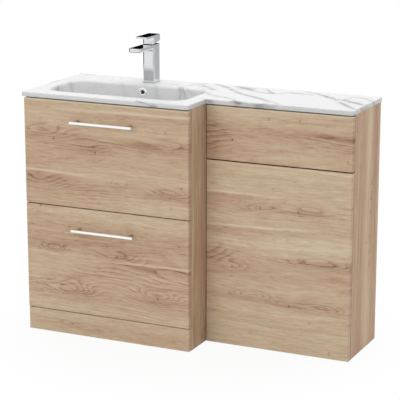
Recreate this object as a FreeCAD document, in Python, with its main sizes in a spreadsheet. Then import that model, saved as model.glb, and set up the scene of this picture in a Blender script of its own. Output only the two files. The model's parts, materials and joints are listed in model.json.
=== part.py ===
"""Floor-standing vanity unit with a back-to-wall toilet unit beside it.

Two board carcasses stand side by side under one L-shaped basin top.  The left
one holds two drawers on telescopic runners, the right one is a hollow box with
a pull-off access panel.  Millimetres, +Z up, +Y towards the wall.  The origin
is on the floor, in the middle of the overall width and depth.
"""
import FreeCAD
import Part
import Sketcher
import os
import re

doc = FreeCAD.newDocument("vanity_unit")

# Driving dimensions: name, size, meaning.
SIZES = [
    ("board", 18, "thickness of the carcass boards and fronts"),
    ("vanity_width", 600, "outside width of the drawer cabinet"),
    ("wc_width", 500, "outside width of the toilet unit"),
    ("vanity_depth", 390, "drawer fronts to wall"),
    ("wc_depth", 260, "toilet unit front panel to wall"),
    ("carcass_height", 803, "floor to the underside of the top"),
    ("plinth_height", 78, "floor to the top of the plinth"),
    ("front_gap", 3, "gap between fronts, and above the plinth"),
    ("top_gap", 6, "gap between the fronts and the top"),
    ("front_reveal", 1.5, "front set in from the carcass side"),
    ("wc_panel_gap", 2, "gap between the two units' fronts"),
    ("bumper_gap", 2, "drawer front to carcass edge"),
    ("edge_break", 0.8, "bevel round the face of a front"),
    ("front_difference", 7.5, "lower drawer front taller than the upper one"),
    ("access_height", 175, "upper toilet unit panel"),
    ("front_rail_height", 50, "rail behind the top drawer front"),
    ("divider_height", 38, "rail behind the gap between the drawers"),
    ("rear_rail_height", 100, "rails screwed to the wall"),
    ("wc_rail_height", 80, "rails behind the toilet unit panels"),
    ("glide_height", 2, "plastic glide under a side"),
    ("glide_diameter", 14, "plastic glide"),
    ("glide_inset", 40, "glide from the end of a side"),
    ("cam_diameter", 15, "cam fitting"),
    ("cam_depth", 12.5, "cam fitting"),
    ("cam_setback", 34, "cam from the end of a board"),
    ("fit_gap", 0.2, "play round a fixed round piece"),
    ("wall_hole_diameter", 6, "wall screw hole"),
    ("wall_hole_drop", 33, "wall screw hole below the carcass top"),
    ("vanity_wall_spacing", 400, "between the cabinet's wall screws"),
    ("wc_wall_spacing", 300, "between the toilet unit's wall screws"),
    ("connector_diameter", 8, "bolt joining the two carcasses"),
    ("connector_head", 14, "head of that bolt"),
    ("connector_head_thickness", 2.5, "head of that bolt"),
    ("connector_setback", 45, "bolt from the wall"),
    ("connector_low", 150, "lower bolt above the floor"),
    ("connector_drop", 153, "upper bolt below the carcass top"),
    ("block_size", 20, "corner block in plan"),
    ("block_height", 36, "corner block"),
    ("block_low", 200, "lower corner block above the floor"),
    ("block_clearance", 96, "upper corner block below the middle rail"),
    ("plinth_block_lift", 12, "plinth corner block above the floor"),
    ("clip_spigot_diameter", 8, "push-in clip on the access panel"),
    ("clip_spigot_length", 11, "push-in clip behind the panel"),
    ("clip_root_diameter", 10, "clip root in the panel"),
    ("clip_root_length", 10, "clip root in the panel"),
    ("clip_socket_diameter", 16, "socket in the rail"),
    ("clip_play", 0.3, "spigot in socket"),
    ("clip_inset", 70, "clip from the end of the panel"),
    ("clip_edge", 30, "clip from the edge of the panel"),
    ("drawer_board", 16, "drawer box boards"),
    ("drawer_setback", 72, "drawer box to wall, room for pipes"),
    ("runner_space", 13, "carcass side to drawer side"),
    ("box_lift", 25, "drawer box above the front's lower edge"),
    ("top_box_clearance", 62, "upper drawer box below the basin"),
    ("bottom_box_height", 180, "lower drawer box"),
    ("recess_width", 160, "pipe recess in the upper drawer"),
    ("recess_front", 75, "recess behind the drawer front"),
    ("recess_corner", 30, "recess corner radius"),
    ("surround_wall", 4, "wall of the recess liner"),
    ("runner_setback", 68, "runner members to wall"),
    ("runner_height", 45, "fixed runner member"),
    ("runner_steel", 1.2, "sheet of the runner members"),
    ("runner_flange", 10, "fixed runner member, reach"),
    ("runner_play", 0.6, "between runner webs"),
    ("race_gap", 4.3, "between nested flanges"),
    ("race_play", 0.3, "bearing strip to flange"),
    ("strip_width", 5, "bearing strip"),
    ("strip_length", 90, "bearing strip"),
    ("runner_lift", 60, "runner line above the box bottom"),
    ("runner_inset", 2, "runner behind the carcass edge"),
    ("handle_length", 226, "bar handle"),
    ("handle_section", 8, "bar and posts"),
    ("handle_centres", 192, "between the posts"),
    ("handle_projection", 35, "bar face in front of the drawer front"),
    ("handle_drop_top", 64.5, "bar below the upper front's top edge"),
    ("handle_drop_bottom", 70, "bar below the lower front's top edge"),
    ("handle_edge_radius", 1, "rounded bar edge"),
    ("screw_diameter", 4, "handle screw"),
    ("screw_head", 8, "handle screw head"),
    ("screw_head_thickness", 2.5, "handle screw head"),
    ("screw_grip", 12, "handle screw in the post"),
    ("top_thickness", 15, "slab of the basin top"),
    ("top_side_overhang", 2.5, "slab beyond the carcass sides"),
    ("top_front_overhang", 10, "slab beyond the fronts"),
    ("top_corner_radius", 8, "front corners of the slab in plan"),
    ("top_edge_radius", 2, "rounded upper edge of the slab"),
    ("bowl_side_margin", 51.5, "slab's side edge to bowl opening"),
    ("bowl_front_margin", 60, "slab's front edge to bowl opening"),
    ("bowl_deck", 114, "bowl opening to wall"),
    ("bowl_corner", 55, "bowl opening corner radius"),
    ("bowl_depth", 118, "rim to bowl floor"),
    ("bowl_side_draft", 31, "lean of the bowl's side walls, rim to floor"),
    ("bowl_end_draft", 14, "lean of its front and rear walls, rim to floor"),
    ("bowl_floor_corner", 48, "bowl floor corner radius"),
    ("bowl_wall", 10, "wall of the bowl"),
    ("bowl_rim_radius", 9, "rolled rim"),
    ("bowl_floor_radius", 26, "sweep from wall to floor"),
    ("duct_width", 24, "overflow duct"),
    ("duct_gap", 12, "overflow duct"),
    ("duct_wall", 6, "wall of the overflow duct"),
    ("overflow_drop", 25.5, "overflow below the rim"),
    ("overflow_hole_diameter", 20, "overflow hole"),
    ("overflow_ring_diameter", 31, "overflow ring"),
    ("overflow_ring_bore", 14, "overflow ring"),
    ("overflow_ring_thickness", 3.5, "overflow ring"),
    ("overflow_ring_dome", 4, "bevels that dome the overflow ring"),
    ("overflow_sleeve_diameter", 18, "sleeve of the overflow ring"),
    ("overflow_sleeve_length", 8, "sleeve of the overflow ring"),
    ("waste_setback", 3, "waste behind the middle of the bowl"),
    ("waste_hole_diameter", 46, "hole in the bowl floor"),
    ("waste_boss_diameter", 74, "thickening under the bowl floor"),
    ("waste_recess_diameter", 67, "seat of the waste flange"),
    ("waste_recess_depth", 3, "seat of the waste flange"),
    ("waste_flange_diameter", 64, "waste flange"),
    ("waste_flange_thickness", 3, "waste flange"),
    ("waste_tail_diameter", 41.9, "threaded tail of the waste"),
    ("waste_tail_length", 75, "threaded tail below the flange"),
    ("trap_thread_length", 30, "thread for the trap, at the tail's end"),
    ("thread_relief_width", 3, "groove above that thread"),
    ("thread_relief_depth", 0.8, "groove above that thread"),
    ("waste_bore", 35, "bore of the waste"),
    ("waste_slot_width", 12, "overflow window in the tail"),
    ("waste_slot_height", 14, "overflow window in the tail"),
    ("waste_slot_drop", 14, "window below the flange"),
    ("spider_drop", 52, "guide bar below the flange"),
    ("spider_height", 7, "guide bar across the bore"),
    ("spider_width", 6, "guide bar across the bore"),
    ("spider_hub", 14, "hub of the guide bar"),
    ("spider_skin", 1.2, "tail wall left outside the guide bar"),
    ("waste_seal_diameter", 60, "rubber ring under the bowl"),
    ("waste_seal_thickness", 3, "rubber ring under the bowl"),
    ("backnut_flats", 50, "backnut of the waste, across its flats"),
    ("backnut_height", 10, "backnut of the waste"),
    ("plug_diameter", 60, "plug cap"),
    ("plug_thickness", 5, "plug cap"),
    ("plug_edge", 1.5, "bevel of the plug cap"),
    ("plug_stem_diameter", 8, "plug stem"),
    ("plug_stem_length", 56, "plug stem"),
    ("running_gap", 0.08, "play of a turning or sliding pin"),
    ("tap_setback", 49.5, "tap axis from the wall"),
    ("tap_hole_diameter", 35, "hole in the deck"),
    ("tap_width", 41, "tap column, side to side"),
    ("tap_depth", 49, "tap column, front to back"),
    ("tap_column_height", 125, "tap column above its base"),
    ("tap_edge_radius", 5, "rounded tap edges"),
    ("tap_base_margin", 1.5, "base plate beyond the column"),
    ("tap_base_thickness", 3, "base plate"),
    ("tap_base_hole", 33, "hole in base plate and gasket"),
    ("gasket_thickness", 1, "rubber under the base plate"),
    ("spout_reach", 103, "spout tip in front of the column"),
    ("spout_thickness", 14.5, "flat spout"),
    ("spout_fillet", 8, "column to spout"),
    ("aerator_diameter", 22, "outlet insert"),
    ("aerator_depth", 7, "outlet seat"),
    ("aerator_height", 8, "outlet insert"),
    ("aerator_setback", 18, "outlet behind the spout tip"),
    ("inlet_diameter", 10, "water inlets under the tap"),
    ("inlet_depth", 12, "water inlets"),
    ("inlet_spread", 15, "between the inlets"),
    ("inlet_offset", 5, "inlets in front of the tap axis"),
    ("stud_diameter", 8, "fixing stud"),
    ("stud_offset", 9, "stud behind the tap axis"),
    ("stud_grip", 14, "stud in the tap"),
    ("stud_drop", 35, "stud below the deck"),
    ("clamp_diameter", 46, "horseshoe plate"),
    ("clamp_thickness", 3, "horseshoe plate"),
    ("clamp_slot", 30, "opening of the horseshoe plate"),
    ("clamp_bridge", 3, "opening past the tap axis"),
    ("clamp_nut_flats", 13, "nut on the stud, across its flats"),
    ("clamp_nut_height", 10, "nut on the stud"),
    ("cartridge_diameter", 28, "mixing cartridge"),
    ("cartridge_height", 21, "mixing cartridge"),
    ("cartridge_seat", 30, "bore in the column"),
    ("cartridge_nut_bore", 20, "ring nut over the cartridge"),
    ("nut_collar_diameter", 36, "collar of that nut, on the column"),
    ("nut_collar_height", 1.6, "collar of that nut"),
    ("carrier_diameter", 18, "turning carrier in the cartridge"),
    ("carrier_height", 20, "turning carrier"),
    ("carrier_drop", 2, "carrier below the column top"),
    ("pivot_drop", 9, "lever pivot below the column top"),
    ("stem_width", 8, "square lever stem"),
    ("stem_foot", 4, "stem below the pivot"),
    ("stem_reach", 20, "stem above the column top"),
    ("stem_clearance", 0.4, "stem in the carrier slot"),
    ("stem_swing", 3, "slot below the stem foot"),
    ("stem_pin_diameter", 3, "pivot pin"),
    ("stem_pin_length", 16, "pivot pin"),
    ("lever_gap", 2, "column top to lever"),
    ("lever_rise", 9, "lever underside rises to the back"),
    ("lever_block_height", 23.5, "lever block"),
    ("lever_plate", 6.5, "lever top plate"),
    ("lever_reach", 51, "plate in front of the block"),
    ("grub_diameter", 5, "screw clamping the lever"),
    ("grub_length", 10, "screw clamping the lever"),
    ("grub_drop", 12, "screw below the plate"),
]

# Planes and lines of the object, each a formula on the driving dimensions.
PLACES = {
    "left_face": "-(vanity_width + wc_width) / 2",
    "joint_face": "left_face + vanity_width",
    "right_face": "(vanity_width + wc_width) / 2",
    "vanity_middle": "left_face + vanity_width / 2",
    "wc_middle": "joint_face + wc_width / 2",
    "vanity_inside": "left_face + board",
    "vanity_inner_width": "vanity_width - 2 * board",
    "wc_inside": "joint_face + board",
    "wc_inner_width": "wc_width - 2 * board",
    "front_plane": "(handle_projection - vanity_depth) / 2",
    "wall_plane": "(handle_projection + vanity_depth) / 2",
    "carcass_front": "front_plane + board + bumper_gap",
    "front_back": "front_plane + board",
    "wc_front_plane": "wall_plane - wc_depth",
    "wc_carcass_front": "wc_front_plane + board",
    "side_height": "carcass_height - glide_height",
    "bottom_front_base": "plinth_height + front_gap",
    "bottom_front_height": "(fronts_top - (bottom_front_base) - front_gap + front_difference) / 2",
    "bottom_front_top": "bottom_front_base + bottom_front_height",
    "top_front_base": "bottom_front_top + front_gap",
    "fronts_top": "carcass_height - top_gap",
    "access_base": "fronts_top - access_height",
    "wc_split": "access_base - front_gap",
    "block_high": "wc_split - wc_rail_height / 2 - block_clearance - block_height",
    "connector_high": "carcass_height - connector_drop",
    "top_surface": "carcass_height + top_thickness",
    "slab_front": "front_plane - top_front_overhang",
    "bowl_width": "vanity_width + 2 * top_side_overhang - 2 * bowl_side_margin",
    "bowl_reach": "vanity_depth + top_front_overhang - bowl_front_margin - bowl_deck",
    "bowl_floor_width": "bowl_width - 2 * bowl_side_draft",
    "bowl_floor_reach": "bowl_reach - 2 * bowl_end_draft",
    "bowl_front": "slab_front + bowl_front_margin",
    "bowl_middle": "bowl_front + bowl_reach / 2",
    "bowl_rear": "bowl_front + bowl_reach",
    "bowl_floor": "top_surface - bowl_depth",
    "bowl_under": "bowl_floor - bowl_wall",
    "duct_low": "bowl_under - duct_gap - duct_wall",
    "duct_front": "bowl_rear + bowl_wall",
    "duct_back": "duct_front + duct_gap",
    "overflow_height": "top_surface - overflow_drop",
    "bowl_lean": "bowl_end_draft / bowl_depth",
    "waste_place": "bowl_middle + waste_setback",
    "waste_seat": "bowl_floor - waste_recess_depth",
    "tap_place": "wall_plane - tap_setback",
    "tap_base": "top_surface + gasket_thickness + tap_base_thickness",
    "tap_front": "tap_place - tap_depth / 2",
    "tap_rear": "tap_place + tap_depth / 2",
    "column_top": "tap_base + tap_column_height",
    "cartridge_base": "column_top - cartridge_seat",
    "pivot_height": "column_top - pivot_drop",
    "lever_base": "column_top + lever_gap",
    "plate_base": "lever_base + lever_block_height",
    "lever_top": "plate_base + lever_plate",
    "box_outside": "vanity_inside + runner_space",
    "box_outer_width": "vanity_inner_width - 2 * runner_space",
    "box_inside": "box_outside + drawer_board",
    "box_inner_width": "box_outer_width - 2 * drawer_board",
    "drawer_length": "vanity_depth - board - drawer_setback",
    "box_back": "front_back + drawer_length",
    "top_box_height": "duct_low - top_box_clearance - (top_front_base + box_lift)",
    "recess_left": "vanity_middle - recess_width / 2",
    "recess_right": "vanity_middle + recess_width / 2",
    "recess_line": "front_back + recess_front",
    "runner_front": "carcass_front + runner_inset",
    "runner_length": "wall_plane - runner_setback - (runner_front)",
    "mid_height": "runner_height - 2 * (runner_steel + race_gap)",
    "slide_height": "mid_height - 2 * (runner_steel + race_gap)",
}

NAMES = [size[0] for size in SIZES]
sheet = doc.addObject("Spreadsheet::Sheet", "dims")
for row, (name, size, meaning) in enumerate(SIZES, start=1):
    sheet.set(f"A{row}", meaning)
    sheet.set(f"B{row}", str(size))
    sheet.setAlias(f"B{row}", name)
doc.recompute()

parts = []
cams = []


def full(text):
    """Spell out a short formula with the sheet's cells."""
    def swap(match):
        word = match.group(0)
        if word in PLACES:
            return "(" + full(PLACES[word]) + ")"
        if word in NAMES:
            return "dims." + word
        return word
    return re.sub(r"[A-Za-z_]\w*", swap, str(text))


def value(text):
    """The number that a formula gives now."""
    return float(sheet.evalExpression(full(text)))


def bind(obj, prop, text):
    """Tie one property of an object to a formula."""
    obj.setExpression(prop, full(text))


def put(obj, x, y, z):
    """Tie an object's place to three formulas."""
    bind(obj, "Placement.Base.x", x)
    bind(obj, "Placement.Base.y", y)
    bind(obj, "Placement.Base.z", z)
    return obj


def keep(obj):
    """Count an object as one of the sub-parts."""
    parts.append(obj)
    return obj


def box(label, x, y, z):
    """A plain block; x, y and z are each a start and a size."""
    obj = doc.addObject("Part::Box", label)
    bind(obj, "Length", x[1])
    bind(obj, "Width", y[1])
    bind(obj, "Height", z[1])
    return put(obj, x[0], y[0], z[0])


def rod(label, axis, x, y, z, diameter, length):
    """A round bar that starts at x, y, z and runs along +axis."""
    obj = doc.addObject("Part::Cylinder", label)
    turn = {"X": ((0, 1, 0), 90), "Y": ((1, 0, 0), -90), "Z": ((0, 0, 1), 0)}[axis]
    rotation = FreeCAD.Rotation(FreeCAD.Vector(*turn[0]), turn[1])
    obj.Placement = FreeCAD.Placement(FreeCAD.Vector(), rotation)
    bind(obj, "Radius", f"({diameter}) / 2")
    bind(obj, "Height", length)
    return put(obj, x, y, z)


def group(label, members):
    """Several separate solids under one name."""
    obj = doc.addObject("Part::Compound", label)
    obj.Links = members
    return obj


def cut(label, base, tools):
    """A piece with tools taken out of it."""
    obj = doc.addObject("Part::Cut", label)
    obj.Base = base
    obj.Tool = group(label + "_tools", tools)
    return obj


def joined(label, members):
    """Several shapes made one solid."""
    obj = doc.addObject("Part::MultiFuse", label)
    obj.Shapes = members
    return obj


def mirrored(label, source, line):
    """The other hand of a piece, across the plane x = line."""
    obj = doc.addObject("Part::Mirroring", label)
    obj.Source = source
    obj.Normal = FreeCAD.Vector(1, 0, 0)
    bind(obj, "Base.x", line)
    return obj


def new_body(label):
    """An empty body."""
    return doc.addObject("PartDesign::Body", label)


def sketch_on(body, name, plane, level):
    """A sketch on a plane of the body, at a level along the plane's axis."""
    sketch = body.newObject("Sketcher::SketchObject", name)
    found = [item for item in body.Origin.OriginFeatures if item.Role == plane + "_Plane"]
    sketch.AttachmentSupport = [(found[0], "")]
    sketch.MapMode = "FlatFace"
    sign = "-" if plane == "XZ" else ""
    bind(sketch, "AttachmentOffset.Base.z", f"{sign}({level})")
    return sketch


def fix(sketch, name, kind, geometry, point, text):
    """Hold one point of a sketch at a distance from its origin."""
    rule = Sketcher.Constraint(kind, -1, 1, geometry, point, value(text))
    number = sketch.addConstraint(rule)
    sketch.renameConstraint(number, name)
    sketch.setExpression("Constraints." + name, full(text))


def fix_radius(sketch, name, geometry, text):
    """Hold the radius of an arc or circle."""
    number = sketch.addConstraint(Sketcher.Constraint("Radius", geometry, value(text)))
    sketch.renameConstraint(number, name)
    sketch.setExpression("Constraints." + name, full(text))


def outline(sketch, corners):
    """A closed outline, anticlockwise; a corner is (u, v) or (u, v, radius)."""
    first = sketch.GeometryCount
    count = len(corners)
    points = [FreeCAD.Vector(value(c[0]), value(c[1]), 0) for c in corners]
    radii = [value(c[2]) if len(c) == 3 else 0 for c in corners]
    ways = [(points[(i + 1) % count] - points[i]).normalize() for i in range(count)]
    for i in range(count):
        start = points[i] + ways[i] * radii[i]
        end = points[(i + 1) % count] - ways[i] * radii[(i + 1) % count]
        sketch.addGeometry(Part.LineSegment(start, end), False)
    for i in range(count):
        before = first + (i - 1) % count
        after = first + i
        tag = f"{first}_{i}"
        if not radii[i]:
            sketch.addConstraint(Sketcher.Constraint("Coincident", before, 2, after, 1))
            fix(sketch, "across" + tag, "DistanceX", after, 1, corners[i][0])
            fix(sketch, "up" + tag, "DistanceY", after, 1, corners[i][1])
            continue
        inward = ways[i] - ways[i - 1]
        centre = points[i] + inward * radii[i]
        left_turn = ways[i - 1].cross(ways[i]).z > 0
        begin = points[i] - ways[i - 1] * radii[i]
        finish = points[i] + ways[i] * radii[i]
        middle = centre - inward.normalize() * radii[i]
        if left_turn:
            arc = sketch.addGeometry(Part.Arc(begin, middle, finish), False)
            into, out = 1, 2
        else:
            arc = sketch.addGeometry(Part.Arc(finish, middle, begin), False)
            into, out = 2, 1
        inward = ways[i] - ways[i - 1]
        across = "+" if inward.x > 0 else "-"
        up = "+" if inward.y > 0 else "-"
        sketch.addConstraint(Sketcher.Constraint("Tangent", before, 2, arc, into))
        sketch.addConstraint(Sketcher.Constraint("Tangent", arc, out, after, 1))
        fix(sketch, "across" + tag, "DistanceX", arc, 3, f"({corners[i][0]}) {across} ({corners[i][2]})")
        fix(sketch, "up" + tag, "DistanceY", arc, 3, f"({corners[i][1]}) {up} ({corners[i][2]})")
        fix_radius(sketch, "round" + tag, arc, corners[i][2])


def circle(sketch, u, v, diameter):
    """A circle in a sketch."""
    centre = FreeCAD.Vector(value(u), value(v), 0)
    radius = value(diameter) / 2
    number = sketch.addGeometry(Part.Circle(centre, FreeCAD.Vector(0, 0, 1), radius), False)
    fix(sketch, f"across{number}", "DistanceX", number, 3, u)
    fix(sketch, f"up{number}", "DistanceY", number, 3, v)
    fix_radius(sketch, f"round{number}", number, f"({diameter}) / 2")


def pad(body, name, sketch, length):
    """Material from a sketch along the plane's positive axis."""
    doc.recompute()
    feature = body.newObject("PartDesign::Pad", name)
    feature.Profile = sketch
    bind(feature, "Length", length)
    feature.Reversed = sketch.getGlobalPlacement().Rotation.multVec(FreeCAD.Vector(0, 0, 1)).y < -0.5
    doc.recompute()
    return feature


def pocket(body, name, sketch, length):
    """A cut from a sketch along the plane's positive axis."""
    doc.recompute()
    before = body.Shape.Volume
    feature = body.newObject("PartDesign::Pocket", name)
    feature.Profile = sketch
    bind(feature, "Length", length)
    feature.Reversed = sketch.getGlobalPlacement().Rotation.multVec(FreeCAD.Vector(0, 0, 1)).y > -0.5
    doc.recompute()
    if body.Shape.Volume > before - 1e-6:
        raise RuntimeError(f"{name} of {body.Label} cuts nothing")
    return feature


def prism(body, name, plane, level, length, corners):
    """A pad of a straight-edged outline."""
    sketch = sketch_on(body, name + "_outline", plane, level)
    outline(sketch, corners)
    return pad(body, name, sketch, length)


def notch(body, name, plane, level, length, corners):
    """A pocket of a straight-edged outline."""
    sketch = sketch_on(body, name + "_outline", plane, level)
    outline(sketch, corners)
    return pocket(body, name, sketch, length)


def drill(body, name, plane, level, length, holes):
    """Round holes; each is a centre and a diameter."""
    sketch = sketch_on(body, name + "_circles", plane, level)
    for hole in holes:
        circle(sketch, *hole)
    return pocket(body, name, sketch, length)


def boss(body, name, plane, level, length, rounds):
    """Round pads; each is a centre and a diameter."""
    sketch = sketch_on(body, name + "_circles", plane, level)
    for item in rounds:
        circle(sketch, *item)
    return pad(body, name, sketch, length)


def rectangle(u, v, radius=None):
    """Corners of a rectangle; u and v are each a start and an end."""
    corners = [(u[0], v[0]), (u[1], v[0]), (u[1], v[1]), (u[0], v[1])]
    return [corner + (radius,) for corner in corners] if radius else corners


def hexagon(u, v, flats):
    """Corners of a nut about u, v; flats is its size across the flats."""
    point = f"({flats}) / sqrt(3)"
    half = f"({flats}) / 2"
    left, right = f"{u} - {point} / 2", f"{u} + {point} / 2"
    low, high = f"{v} - {half}", f"{v} + {half}"
    return [(f"{u} + {point}", v), (right, high), (left, high),
            (f"{u} - {point}", v), (left, low), (right, low)]


def turned(body, corners):
    """A turned piece: radius and height outline about the body's own Z."""
    sketch = sketch_on(body, body.Name + "_section", "XZ", 0)
    outline(sketch, corners)
    feature = body.newObject("PartDesign::Revolution", body.Name + "_turn")
    feature.Profile = sketch
    feature.ReferenceAxis = (sketch, ["V_Axis"])
    feature.Angle = 360
    doc.recompute()
    return feature


def edges_where(body, test):
    """Names of the edges whose points all pass a test."""
    names = []
    for number, edge in enumerate(body.Shape.Edges, start=1):
        spots = [edge.valueAt(edge.FirstParameter + (edge.LastParameter - edge.FirstParameter) * k / 4)
                 for k in range(5)]
        if all(test(spot) for spot in spots):
            names.append(f"Edge{number}")
    return names


def soften(body, name, kind, test, size):
    """Round or bevel the edges that pass a test."""
    edges = edges_where(body, test)
    if not edges:
        raise RuntimeError(f"{name} of {body.Label} finds no edge")
    solid = body.Tip
    feature = body.newObject("PartDesign::" + kind, name)
    feature.Base = (solid, edges)
    bind(feature, "Radius" if kind == "Fillet" else "Size", size)
    doc.recompute()
    return feature


def near(a, text):
    """Whether a number is at a formula's value."""
    return abs(a - value(text)) < 1e-4


def faced_panel(label, x, z, face):
    """A front with a bevel round its face; x and z are each a start and an end."""
    body = new_body(label)
    prism(body, label + "_pad", "XZ", face, "board", rectangle(x, z))
    soften(body, label + "_bevel", "Chamfer", lambda spot: near(spot.y, face), "edge_break")
    return body


def rail(label, x, y, z, cam_side, extra=()):
    """A rail between two sides, with a cam at each end of its hidden face."""
    blank = box(label + "_blank", x, (y, "board"), z)
    start = y if cam_side == "front" else f"{y} + board - cam_depth"
    height = f"{z[0]} + ({z[1]}) / 2"
    tools = list(extra)
    hole = "cam_diameter + fit_gap"
    for end, place in (("a", f"{x[0]} + cam_setback"), ("b", f"{x[0]} + {x[1]} - cam_setback")):
        tools.append(rod(f"{label}_bore_{end}", "Y", place, start, height, hole, "cam_depth"))
        cams.append(rod(f"{label}_cam_{end}", "Y", place, start, height, "cam_diameter", "cam_depth"))
    return keep(cut(label, blank, tools))


def wall_holes(label, middle, spacing):
    """Two screw holes through a rear rail."""
    made = []
    for end, sign in (("a", "-"), ("b", "+")):
        place = f"{middle} {sign} {spacing} / 2"
        made.append(rod(f"{label}_{end}", "Y", place, "wall_plane - board", "carcass_height - wall_hole_drop",
                        "wall_hole_diameter", "board"))
    return made


def carcass_sides():
    """Four upright sides; the two that meet are bolted together."""
    across = ("glide_height", "side_height")
    deep = ("carcass_front", "wall_plane - (carcass_front)")
    shallow = ("wc_carcass_front", "wall_plane - (wc_carcass_front)")
    keep(box("vanity_left_side", ("left_face", "board"), deep, across))
    keep(box("wc_right_side", ("right_face - board", "board"), shallow, across))
    right = box("vanity_right_side_blank", ("joint_face - board", "board"), deep, across)
    left = box("wc_left_side_blank", ("joint_face", "board"), shallow, across)
    bolts = []
    place = "wall_plane - connector_setback"
    holes = {"vanity": [], "wc": []}
    for end in ("low", "high"):
        height = "connector_" + end
        for side, start in (("vanity", "joint_face - board"), ("wc", "joint_face")):
            holes[side].append(rod(f"{side}_bolt_hole_{end}", "X", start, place, height,
                                   "connector_diameter + fit_gap", "board"))
        shank = rod(f"connector_shank_{end}", "X", "joint_face - board", place, height,
                    "connector_diameter", "2 * board")
        head_start = "joint_face - board - connector_head_thickness"
        head = rod(f"connector_head_{end}", "X", head_start, place, height,
                   "connector_head", "connector_head_thickness")
        cap = rod(f"connector_cap_{end}", "X", "joint_face + board", place, height,
                  "connector_head", "connector_head_thickness")
        bolts.append(joined(f"connector_{end}", [shank, head, cap]))
    keep(cut("vanity_right_side", right, holes["vanity"]))
    keep(cut("wc_left_side", left, holes["wc"]))
    keep(group("unit_connectors", bolts))


def vanity_boards():
    """Base, plinth and rails of the drawer cabinet."""
    inner = ("vanity_inside", "vanity_inner_width")
    blank = box("vanity_base_blank", inner, ("carcass_front", "wall_plane - (carcass_front)"),
                ("plinth_height - board", "board"))
    tools = []
    rows = (("front", "carcass_front + 2 * cam_setback"), ("rear", "wall_plane - 2 * cam_setback"))
    for end, x in (("a", "vanity_inside + cam_setback"), ("b", "joint_face - board - cam_setback")):
        for row, y in rows:
            tools.append(rod(f"base_bore_{row}_{end}", "Z", x, y, "plinth_height - board",
                             "cam_diameter + fit_gap", "cam_depth"))
            cams.append(rod(f"base_cam_{row}_{end}", "Z", x, y, "plinth_height - board",
                            "cam_diameter", "cam_depth"))
    keep(cut("vanity_base", blank, tools))
    keep(faced_panel("vanity_plinth", ("left_face + front_reveal", "joint_face - front_reveal"),
                     ("glide_height", "plinth_height"), "carcass_front - board"))
    rail("vanity_front_rail", inner, "carcass_front",
         ("carcass_height - front_rail_height", "front_rail_height"), "rear")
    rail("vanity_divider_rail", inner, "carcass_front",
         ("bottom_front_top + front_gap / 2 - divider_height / 2", "divider_height"), "rear")
    rail("vanity_rear_top_rail", inner, "wall_plane - board",
         ("carcass_height - rear_rail_height", "rear_rail_height"), "front",
         wall_holes("vanity_wall_hole", "vanity_middle", "vanity_wall_spacing"))
    rail("vanity_rear_bottom_rail", inner, "wall_plane - board",
         ("plinth_height", "rear_rail_height"), "front")


def wc_boards():
    """Panels and rails of the toilet unit."""
    inner = ("wc_inside", "wc_inner_width")
    span = ("joint_face + wc_panel_gap", "right_face")
    keep(faced_panel("wc_lower_panel", span, ("glide_height", "wc_split"), "wc_front_plane"))
    sockets = []
    for row in ("low", "high"):
        height = "access_base + clip_edge" if row == "low" else "fronts_top - clip_edge"
        for end, place in (("a", "joint_face + wc_panel_gap + clip_inset"), ("b", "right_face - clip_inset")):
            sockets.append((row, end, place, height))
    bores = {"low": [], "high": []}
    rings = []
    for row, end, place, height in sockets:
        bores[row].append(rod(f"socket_bore_{row}_{end}", "Y", place, "wc_carcass_front", height,
                              "clip_socket_diameter + fit_gap", "board"))
        ring = rod(f"socket_blank_{row}_{end}", "Y", place, "wc_carcass_front", height,
                   "clip_socket_diameter", "board")
        hole = rod(f"socket_hole_{row}_{end}", "Y", place, "wc_carcass_front", height,
                   "clip_spigot_diameter + 2 * clip_play", "clip_spigot_length + clip_play")
        rings.append(cut(f"socket_{row}_{end}", ring, [hole]))
    rail("wc_top_rail", inner, "wc_carcass_front",
         ("carcass_height - wc_rail_height", "wc_rail_height"), "rear", bores["high"])
    rail("wc_middle_rail", inner, "wc_carcass_front",
         ("wc_split - wc_rail_height / 2", "wc_rail_height"), "rear", bores["low"])
    rail("wc_bottom_rail", inner, "wc_carcass_front", ("glide_height", "wc_rail_height"), "rear")
    rail("wc_rear_rail", inner, "wall_plane - board",
         ("carcass_height - rear_rail_height", "rear_rail_height"), "front",
         wall_holes("wc_wall_hole", "wc_middle", "wc_wall_spacing"))
    keep(group("clip_sockets", rings))
    panel = faced_panel("access_panel", span, ("access_base", "fronts_top"), "wc_front_plane")
    drill(panel, "clip_bores", "XZ", "wc_carcass_front - clip_root_length", "clip_root_length",
          [(place, height, "clip_root_diameter + fit_gap") for row, end, place, height in sockets])
    keep(panel)
    clips = []
    for row, end, place, height in sockets:
        root = rod(f"clip_root_{row}_{end}", "Y", place, "wc_carcass_front - clip_root_length", height,
                   "clip_root_diameter", "clip_root_length")
        spigot = rod(f"clip_spigot_{row}_{end}", "Y", place, "wc_carcass_front", height,
                     "clip_spigot_diameter", "clip_spigot_length")
        clips.append(joined(f"clip_{row}_{end}", [root, spigot]))
    keep(group("panel_clips", clips))


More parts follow.
